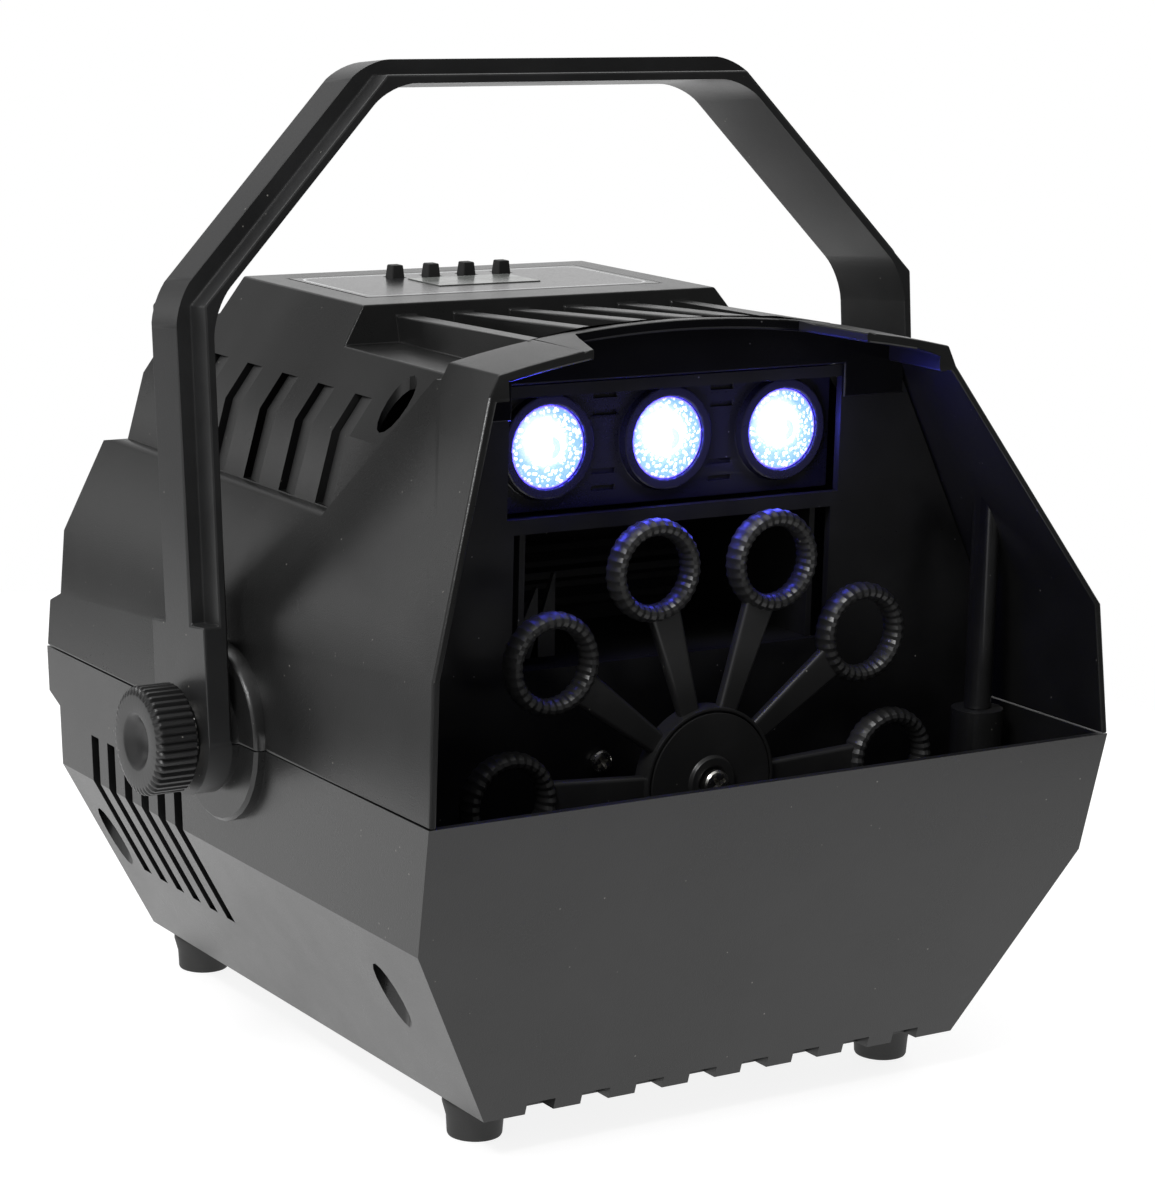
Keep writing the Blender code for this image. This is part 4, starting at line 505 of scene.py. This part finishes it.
sunk = [face for face in bezel.faces if face.normal.y < -0.9
        and abs(face.calc_center_median().y - bezel_face) < 0.0002
        and any(abs(face.calc_center_median().x - x) < SLOT_HALF_X
                and abs(face.calc_center_median().z - z) < SLOT_HALF_Z for x, z in slots)]
pushed = bmesh.ops.extrude_face_region(bezel, geom=sunk)["geom"]
bmesh.ops.translate(bezel, vec=(0, SLOT_SINK, 0),
                    verts=[v for v in pushed if isinstance(v, bmesh.types.BMVert)])
bmesh.ops.delete(bezel, geom=sunk, context="FACES")
bezel_plastic = plastic("bezel_plastic", (0.012, 0.012, 0.014), 0.28, 0.0006, 0.00001, haze=0.08, dust=0.6)
finished("lamp_bezel", bezel, "casing", [bezel_plastic], ["led_bezel"])

# Lamps. Three clear acrylic lenses with a beaded face, each over a bright blue-white chip, pressed into
# the collars and lit while the machine runs, with a faint blue light in front of each.
BEAD = 0.0013


def lit_lens():
    """Glowing beaded acrylic: white-hot at the middle, with blue beads towards the rim."""
    finish = bpy.data.materials.new("lit_lens")
    finish.use_nodes = True
    tree = finish.node_tree
    shader = tree.nodes["Principled BSDF"]
    place = tree.nodes.new("ShaderNodeTexCoord").outputs["Object"]
    split = tree.nodes.new("ShaderNodeSeparateXYZ")
    feed(tree, split.inputs[0], place)
    nearest = maths(tree, "WRAP", split.outputs["X"], LAMP_PITCH / 2)
    nearest.node.inputs[2].default_value = -LAMP_PITCH / 2
    from_x = nearest
    from_z = maths(tree, "SUBTRACT", split.outputs["Z"], LAMP_Z)
    reach = maths(tree, "SQRT", maths(tree, "ADD", maths(tree, "MULTIPLY", from_x, from_x),
                                      maths(tree, "MULTIPLY", from_z, from_z)))
    skewed = maths(tree, "ADD", reach, maths(tree, "MULTIPLY", maths(tree, "SUBTRACT", from_x, from_z), 0.30))
    beads = texture(tree, "ShaderNodeTexVoronoi", "Distance", Vector=place, Scale=1 / BEAD)
    rim = span(tree, skewed, 0.0010, 0.0085)
    bead = maths(tree, "MULTIPLY", span(tree, beads, 0.24, 0.52), rim)
    chip = maths(tree, "MULTIPLY", span(tree, reach, 0.0008, 0.0013),
                 maths(tree, "SUBTRACT", 1.0, span(tree, reach, 0.0030, 0.0040)))
    cool = maths(tree, "MAXIMUM", bead, maths(tree, "MULTIPLY", chip, span(tree, from_x, -0.0014, 0.0010)))
    edge = span(tree, reach, 0.0112, 0.0119)
    bright = blended(tree, cool, (1.8, 1.8, 36.0, 1.0), (0.10, 0.38, 0.86, 1.0))
    feed(tree, shader.inputs["Emission Color"], blended(tree, edge, bright, (0.20, 0.12, 2.4, 1.0)))
    shader.inputs["Emission Strength"].default_value = 1.0
    feed(tree, shader.inputs["Base Color"], blended(tree, cool, (0.8, 0.85, 0.95, 1.0), (0.5, 0.6, 0.8, 1.0)))
    feed(tree, shader.inputs["Roughness"], maths(tree, "ADD", maths(tree, "MULTIPLY", beads, 0.2), 0.08))
    feed(tree, shader.inputs["Normal"],
         texture(tree, "ShaderNodeBump", "Normal", Height=beads, Distance=0.0002))
    return finish


LENS_SEAT = 0.0065
GLOW_GAP = 0.0085
GLOW_COLOUR = (0.16, 0.14, 1.0)
GLOW_WATTS = 0.035
GLOW_RADIUS = 0.006
lens_glow = lit_lens()
for side in ("left", "centre", "right"):
    low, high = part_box(f"led_lens_{side}")
    radius = (high.x - low.x) / 2
    depth = high.y - low.y
    dome = depth - LENS_SEAT
    lens = turned([(0, dome + LENS_SEAT), (radius * 0.25, depth - dome * 0.06),
                   (radius * 0.5, depth - dome * 0.25),
                   (radius * 0.7, depth - dome * 0.5), (radius * 0.88, depth - dome * 0.8),
                   (radius, depth - dome), (radius, 0), (0, 0)],
                  ((low.x + high.x) / 2, high.y, LAMP_Z), "y", 64)
    finished(f"lit_lens_{side}", lens, "casing", [lens_glow], [f"led_lens_{side}"])
    glow = bpy.data.lights.new(f"glow {side}", "POINT")
    glow.color, glow.energy, glow.shadow_soft_size = GLOW_COLOUR, GLOW_WATTS, GLOW_RADIUS
    halo = bpy.data.objects.new(f"glow {side}", glow)
    halo.location = ((low.x + high.x) / 2, low.y - GLOW_GAP, LAMP_Z)
    halo.visible_camera = False
    halo.visible_glossy = False
    bpy.context.scene.collection.objects.link(halo)


def board_face():
    """A fibreglass board: green solder mask over copper tracks, with tinned pads."""
    group, given, result, place = effect("board_face", {"Colour": (0.008, 0.055, 0.022, 1.0)})
    cell = texture(group, "ShaderNodeTexVoronoi", "Distance", Vector=place, Scale=260.0)
    brick = group.nodes.new("ShaderNodeTexBrick")
    feed(group, brick.inputs["Vector"], place)
    brick.inputs["Scale"].default_value = 120.0
    brick.inputs["Mortar Size"].default_value = 0.05
    weave = texture(group, "ShaderNodeTexNoise", "Fac", Vector=place, Scale=700.0, Detail=1.0)
    pad = maths(group, "SUBTRACT", 1.0, span(group, cell, 0.16, 0.20))
    track = blended(group, brick.outputs["Fac"], given["Colour"], (0.020, 0.110, 0.040, 1.0))
    feed(group, result["Colour"], blended(group, pad, track, (0.50, 0.49, 0.45, 1.0)))
    feed(group, result["Roughness"], maths(group, "ADD", maths(group, "MULTIPLY", weave, 0.2), 0.25))
    feed(group, result["Height"], maths(group, "ADD", maths(group, "MULTIPLY", weave, 0.3), pad))
    return group


circuit_board = surface("circuit_board", board_face(), {}, 0.00004)
dressed(circuit_board, "led_board")

# Bubble wheel. One moulding in black ABS: a hub with a raised lip, ten tapered arms and ten wand rings,
# each ring crimped all round so that it holds fluid. It is pressed on the shaft's flat.
wheel_low, wheel_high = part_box("bubble_wheel")
WHEEL_Y = (wheel_low.y + wheel_high.y) / 2
SHAFT_Z = (wheel_low.z + wheel_high.z) / 2
WANDS = 10
WAND_PHASE = radians(18.7)
PITCH_RADIUS = 0.0670
RING_OUTER = 0.0152
RING_INNER = 0.0100
RING_HALF_DEPTH = 0.0042
CRIMPS = 32
CRIMP_DEPTH = 0.11
HUB_RADIUS = 0.0222
HUB_HALF_DEPTH = 0.0035
ARM_NARROW = 0.0062
ARM_WIDE = 0.0105
ARM_DEPTH = 0.0036


def wand_ring():
    """One crimped ring round the origin, its bore along Y."""
    bm = bmesh.new()
    middle = (RING_OUTER + RING_INNER) / 2
    bmesh.ops.create_circle(bm, segments=14, radius=1.0, cap_ends=False)
    bmesh.ops.scale(bm, vec=((RING_OUTER - RING_INNER) / 2, RING_HALF_DEPTH, 1), verts=bm.verts)
    bmesh.ops.translate(bm, vec=(middle, 0, 0), verts=bm.verts)
    bmesh.ops.spin(bm, geom=bm.verts[:] + bm.edges[:], cent=(0, 0, 0), axis=(0, 1, 0), angle=2 * pi,
                   steps=CRIMPS * 4, use_merge=True)
    bmesh.ops.remove_doubles(bm, verts=bm.verts, dist=MERGE)
    for vert in bm.verts:
        core = Vector((vert.co.x, 0, vert.co.z)).normalized() * middle
        dip = (1 - cos(CRIMPS * core.xz.angle_signed(Vector((1, 0))))) / 2
        vert.co = core + (vert.co - core) * (1 - CRIMP_DEPTH * dip)
    bmesh.ops.recalc_face_normals(bm, faces=bm.faces)
    bmesh.ops.translate(bm, vec=(0, 0, PITCH_RADIUS), verts=bm.verts)
    return bm


def with_arm(bm):
    """Add the tapered arm from the hub to the ring."""
    foot, tip = HUB_RADIUS * 0.75, PITCH_RADIUS - (RING_OUTER + RING_INNER) / 2
    arm = bmesh.new()
    verts = bmesh.ops.create_cube(arm, size=1.0)["verts"]
    bmesh.ops.scale(arm, vec=(ARM_NARROW, ARM_DEPTH, tip - foot), verts=verts)
    bmesh.ops.scale(arm, vec=(ARM_WIDE / ARM_NARROW, 1, 1), verts=[vert for vert in verts if vert.co.z > 0])
    bmesh.ops.translate(arm, vec=(0, 0, (foot + tip) / 2), verts=verts)
    long_edges = [edge for edge in arm.edges if abs(edge.verts[0].co.z - edge.verts[1].co.z) > foot]
    bmesh.ops.bevel(arm, geom=long_edges, offset=0.0013, offset_type="OFFSET", affect="EDGES", segments=4,
                    profile=0.5, material=-1)
    spare = bpy.data.meshes.new("arm")
    arm.to_mesh(spare)
    arm.free()
    bm.from_mesh(spare)
    bpy.data.meshes.remove(spare)
    return bm


wand = with_arm(wand_ring())
spokes = wand.verts[:] + wand.edges[:] + wand.faces[:]
bmesh.ops.rotate(wand, cent=(0, 0, 0), matrix=Matrix.Rotation(WAND_PHASE, 3, "Y"), verts=wand.verts)
for i in range(1, WANDS):
    copy = bmesh.ops.duplicate(wand, geom=spokes)["geom"]
    bmesh.ops.rotate(wand, cent=(0, 0, 0), matrix=Matrix.Rotation(2 * pi * i / WANDS, 3, "Y"),
                     verts=[item for item in copy if isinstance(item, bmesh.types.BMVert)])
HUB_BORE = 0.0033
HUB_LIP = 0.0011
HUB_DIP = 0.0017
hub = rounded(turned([(HUB_BORE, -HUB_HALF_DEPTH), (HUB_RADIUS, -HUB_HALF_DEPTH),
                      (HUB_RADIUS, HUB_HALF_DEPTH), (HUB_RADIUS - HUB_LIP, HUB_HALF_DEPTH),
                      (HUB_RADIUS - HUB_LIP, HUB_HALF_DEPTH - HUB_DIP),
                      (HUB_BORE, HUB_HALF_DEPTH - HUB_DIP), (HUB_BORE, -HUB_HALF_DEPTH)],
                     (0, 0, 0), "y", 96), 0.0003)
spare = bpy.data.meshes.new("hub")
hub.to_mesh(spare)
hub.free()
wand.from_mesh(spare)
bpy.data.meshes.remove(spare)
bmesh.ops.translate(wand, vec=(0, WHEEL_Y, SHAFT_Z), verts=wand.verts)
wheel_plastic = plastic("wheel_plastic", (0.014, 0.014, 0.0142), 0.34, 0.0005, 0.00002, haze=0.15, dust=0.6)
finished("wand_wheel", wand, "wheel", [wheel_plastic], ["bubble_wheel"])

# Hub cover. A thin moulded disc with a raised boss, laid in the hub's lip and held by one plated screw
# in the end of the shaft.
low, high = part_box("hub_cover")
cover_radius = (high.x - low.x) / 2
cover_depth = high.y - low.y
BOSS_RADIUS = 0.0080
BOSS_RISE = 0.0012
BOSS_DISH = 0.0052
cover = turned([(0.0018, 0), (cover_radius, 0), (cover_radius, cover_depth - BOSS_RISE),
                (BOSS_RADIUS, cover_depth - BOSS_RISE), (BOSS_RADIUS - 0.0005, cover_depth),
                (BOSS_DISH, cover_depth), (BOSS_DISH - 0.0006, cover_depth - 0.0007),
                (0.0018, cover_depth - 0.0007), (0.0018, 0)], (0, high.y, SHAFT_Z), "y", 96)
finished("hub_disc", rounded(cover, 0.00025), "wheel", [wheel_plastic], ["hub_cover"])
low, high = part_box("wheel_screw")
screw = cross_screw((high.x - low.x) / 2, 0.0022, 0.0015, high.y - low.y - 0.0040, (0, low.y, SHAFT_Z),
                    FACING_FRONT)
finished("hub_screw", screw, "wheel", [steel], ["wheel_screw"])

# Gearbox screws. Two plated pan-head screws that hold the gearbox to the back of the plate.
for side in ("left", "right"):
    low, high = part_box(f"motor_screw_{side}")
    middle = (low + high) / 2
    screw = cross_screw((high.x - low.x) / 2, 0.0020, 0.0015, high.y - low.y - 0.0038,
                        (middle.x, low.y, middle.z), FACING_FRONT)
    finished(f"gearbox_screw_{side}", screw, "casing", [steel], [f"motor_screw_{side}"])

# Upper casing. The top shell is the same grained black ABS, polished inside, with deck bars, louvres and
# an arched rim. The front faces round the cut in the rim above the lamps carry painted shade: a darker,
# duller finish.
PAINTED_SHADE_Y = (-0.0885, -0.0600)
TAB_FOOT_Z = 0.2030
SHADE_FOOT_Z = 0.2125
LOUVRE_INNER_X = 0.0660
LOUVRE_Y = (-0.040, 0.100)
LOUVRE_Z = (0.165, 0.2165)


def at_louvres(place):
    """Whether a point is among the thin ribs of the louvred sides, which stay crisp."""
    return (abs(place.x) > LOUVRE_INNER_X and LOUVRE_Y[0] < place.y < LOUVRE_Y[1]
            and LOUVRE_Z[0] < place.z < LOUVRE_Z[1])


upper_shell = softened("upper_casing", CASING_EDGE, shortest=0.006, clamp=False, left_sharp=at_louvres)
polish_inside(upper_shell, SHADE_FOOT_Z)
# Painted shade: the front faces round the rim's cut above the lamps get the darker, weakly reflecting finish.
for face in upper_shell.faces:
    middle = face.calc_center_median()
    if face.normal.y < -0.5 and PAINTED_SHADE_Y[0] < middle.y < PAINTED_SHADE_Y[1] and middle.z > TAB_FOOT_Z:
        face.material_index = 2
# Painted shade finish: its darker base colour and weak reflection stand in for the shade round the rim's cut.
painted_shade_plastic = plastic("painted_shade_plastic", (0.0028, 0.0028, 0.0034), 0.16, 0.001, 0.000004, haze=0.03, dust=0.3,
                        Specular_IOR_Level=0.14)
finished("upper_shell", upper_shell, "casing",
         [casing_plastic, core_plastic, painted_shade_plastic], ["upper_casing"])

# Control panel. A printed film with a thin pale border is stuck in the housing's recess, over a small
# display window; four rubber buttons come up through it from the board below.
label_low, label_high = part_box("panel_label")
LABEL_INSET = 0.0022
LABEL_CORNER = 0.0050
LABEL_LINE = 0.00045


def printed_film():
    """Dark printed film with a pale rounded border, its ink faintly mottled."""
    finish = bpy.data.materials.new("printed_film")
    finish.use_nodes = True
    tree = finish.node_tree
    shader = tree.nodes["Principled BSDF"]
    place = tree.nodes.new("ShaderNodeTexCoord").outputs["Object"]
    split = tree.nodes.new("ShaderNodeSeparateXYZ")
    feed(tree, split.inputs[0], place)
    half_x = (label_high.x - label_low.x) / 2 - LABEL_INSET - LABEL_CORNER
    half_y = (label_high.y - label_low.y) / 2 - LABEL_INSET - LABEL_CORNER
    middle_y = (label_high.y + label_low.y) / 2
    from_y = maths(tree, "SUBTRACT", split.outputs["Y"], middle_y)
    out_x = maths(tree, "MAXIMUM", maths(tree, "SUBTRACT",
                                         maths(tree, "ABSOLUTE", split.outputs["X"]), half_x), 0.0)
    out_y = maths(tree, "MAXIMUM", maths(tree, "SUBTRACT", maths(tree, "ABSOLUTE", from_y), half_y), 0.0)
    out = maths(tree, "SQRT", maths(tree, "ADD", maths(tree, "MULTIPLY", out_x, out_x),
                                    maths(tree, "MULTIPLY", out_y, out_y)))
    off_line = maths(tree, "ABSOLUTE", maths(tree, "SUBTRACT", out, LABEL_CORNER))
    line = maths(tree, "SUBTRACT", 1.0, span(tree, off_line, LABEL_LINE * 0.7, LABEL_LINE * 1.1))
    marks = texture(tree, "ShaderNodeTexNoise", "Fac", Vector=place, Scale=420.0, Detail=2.0)
    grain = texture(tree, "ShaderNodeTexNoise", "Fac", Vector=place, Scale=2600.0, Detail=1.0)
    ink = blended(tree, span(tree, marks, 0.4, 0.7), (0.020, 0.020, 0.021, 1.0), (0.026, 0.026, 0.027, 1.0))
    feed(tree, shader.inputs["Base Color"], blended(tree, line, ink, (0.55, 0.56, 0.57, 1.0)))
    feed(tree, shader.inputs["Roughness"], maths(tree, "ADD", maths(tree, "MULTIPLY", grain, 0.2), 0.12))
    feed(tree, shader.inputs["Normal"],
         texture(tree, "ShaderNodeBump", "Normal", Height=grain, Distance=0.00001))
    return finish


dressed(printed_film(), "panel_label")


def display_face():
    """Pale display window with unlit segments showing faintly under a clear face."""
    finish = bpy.data.materials.new("display_face")
    finish.use_nodes = True
    tree = finish.node_tree
    shader = tree.nodes["Principled BSDF"]
    place = tree.nodes.new("ShaderNodeTexCoord").outputs["Object"]
    brick = tree.nodes.new("ShaderNodeTexBrick")
    feed(tree, brick.inputs["Vector"], place)
    brick.inputs["Scale"].default_value = 110.0
    brick.inputs["Color1"].default_value = (0.20, 0.21, 0.20, 1.0)
    brick.inputs["Color2"].default_value = (0.18, 0.19, 0.18, 1.0)
    brick.inputs["Mortar"].default_value = (0.23, 0.24, 0.23, 1.0)
    cloud = texture(tree, "ShaderNodeTexNoise", "Fac", Vector=place, Scale=150.0, Detail=2.0)
    feed(tree, shader.inputs["Base Color"], brick.outputs["Color"])
    feed(tree, shader.inputs["Roughness"], maths(tree, "ADD", maths(tree, "MULTIPLY", cloud, 0.2), 0.1))
    return finish


dressed(display_face(), "display_window")
BUTTON_TAPER = 0.74
BUTTON_FACE = 0.0005
for button in range(1, 5):
    low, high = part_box(f"button_{button}")
    middle = (low + high) / 2
    cap = merged(f"button_{button}")
    bmesh.ops.scale(cap, vec=(BUTTON_TAPER, BUTTON_TAPER, 1),
                    verts=[vert for vert in cap.verts if vert.co.z > high.z - BUTTON_FACE],
                    space=Matrix.Translation((-middle.x, -middle.y, 0)))
    finished(f"rubber_button_{button}", softened("", 0.0004, shortest=0.0012, bm=cap), f"push_{button}",
             [rubber], [f"button_{button}"])
dressed(circuit_board, "control_board")

# Rear fittings. A moulded mains inlet with a fuse drawer and three plated pins, and a rocker switch, both
# snapped into the rear wall from outside; the supply's tinned steel case stands behind them.
fitting_plastic = plastic("fitting_plastic", (0.011, 0.011, 0.011), 0.30, 0.0006, 0.00001, haze=0.08,
                          dust=0.6)
for node, piece in (("power_inlet", "inlet_body"), ("fuse_drawer", "fuse_tray"),
                    ("power_switch", "switch_frame")):
    finished(piece, softened(node, 0.0004, shortest=0.0015), "casing", [fitting_plastic],
             [node])
finished("switch_rocker", softened("power_rocker", 0.0004, shortest=0.0015), "rocker",
         [fitting_plastic], ["power_rocker"])
dressed(steel, "inlet_pin_1", "inlet_pin_2", "inlet_pin_3")
finished("supply_case", softened("power_supply", 0.0008), "casing", [motor_steel],
         ["power_supply"])

# Handle. A one-piece bail moulded in black nylon: a flat flange, a raised band along its outside and a
# round pad over each pivot.
HANDLE_EDGE = 0.0007
BEND_RUN = 0.0085
BEND_STEPS = 8
BEND_FOOT_Z = 0.200
bail = merged("handle")
bail.normal_update()
across = [edge for edge in bail.edges if edge.calc_length() > 0.009 and edge.verts[0].co.z > BEND_FOOT_Z
          and abs(edge.verts[0].co.x - edge.verts[1].co.x) < MERGE * 20
          and abs((edge.verts[0].co - edge.verts[1].co).normalized().y) > 0.99
          and radians(30) < edge.calc_face_angle(0) < radians(60)]
bmesh.ops.bevel(bail, geom=across, offset=BEND_RUN, offset_type="OFFSET", affect="EDGES",
                segments=BEND_STEPS, profile=0.5, material=-1)
handle_plastic = plastic("handle_plastic", (0.0120, 0.0122, 0.0124), 0.34, 0.00050, 0.00003, haze=0.14,
                         dust=0.7,
                         Specular_IOR_Level=0.6)
finished("bail_handle", softened("handle", HANDLE_EDGE, clamp=False, bm=bail), "bail",
         [handle_plastic], ["handle"])

# Clamps. On each side a ribbed nylon knob on a steel stud, with a plain washer outside the handle and a
# hexagon nut held in a pocket of the casing.
KNOB_RIBS = 42
KNOB_RIB_DEPTH = 0.0009
KNOB_DISH_RADIUS = 0.0086
KNOB_DISH_DEPTH = 0.0038
KNOB_BORE = 0.0043
knob_plastic = plastic("knob_plastic", (0.0080, 0.0080, 0.0080), 0.33, 0.0004, 0.00003, haze=0.15, dust=0.8)
for side, way in (("left", -1), ("right", 1)):
    low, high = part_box(f"knob_{side}")
    middle = (low + high) / 2
    radius = (high.z - low.z) / 2
    depth = high.x - low.x
    knob = turned([(KNOB_BORE, 0), (radius - 0.0012, 0), (radius, 0.0010), (radius, depth - 0.0018),
                   (radius - 0.0005, depth - 0.0009), (radius - 0.0016, depth - 0.0002),
                   (radius - 0.0026, depth),
                   (KNOB_DISH_RADIUS, depth), (KNOB_DISH_RADIUS - 0.0009, depth - 0.0004),
                   (KNOB_DISH_RADIUS - 0.0026, depth - 0.0022),
                   (KNOB_DISH_RADIUS - 0.0050, depth - KNOB_DISH_DEPTH),
                   (0, depth - KNOB_DISH_DEPTH)], (0, 0, 0), "z", KNOB_RIBS * 6)
    for vert in knob.verts:
        flat = vert.co.xy
        if flat.length > radius - 0.0020:
            dip = max(0.0, -cos(KNOB_RIBS * flat.angle_signed(Vector((1, 0))))) ** 0.7
            vert.co.xy = flat * (1 - KNOB_RIB_DEPTH * dip / radius)
    bmesh.ops.transform(knob, matrix=Matrix.Translation((low.x if way > 0 else high.x, middle.y, middle.z))
                        @ Matrix.Rotation(way * pi / 2, 4, "Y"), verts=knob.verts)
    finished(f"clamp_knob_{side}", knob, f"{side}_grip", [knob_plastic], [f"knob_{side}"],
             sharp=radians(38))
    dressed(steel, f"knob_stud_{side}", f"washer_{side}", f"captive_nut_{side}")
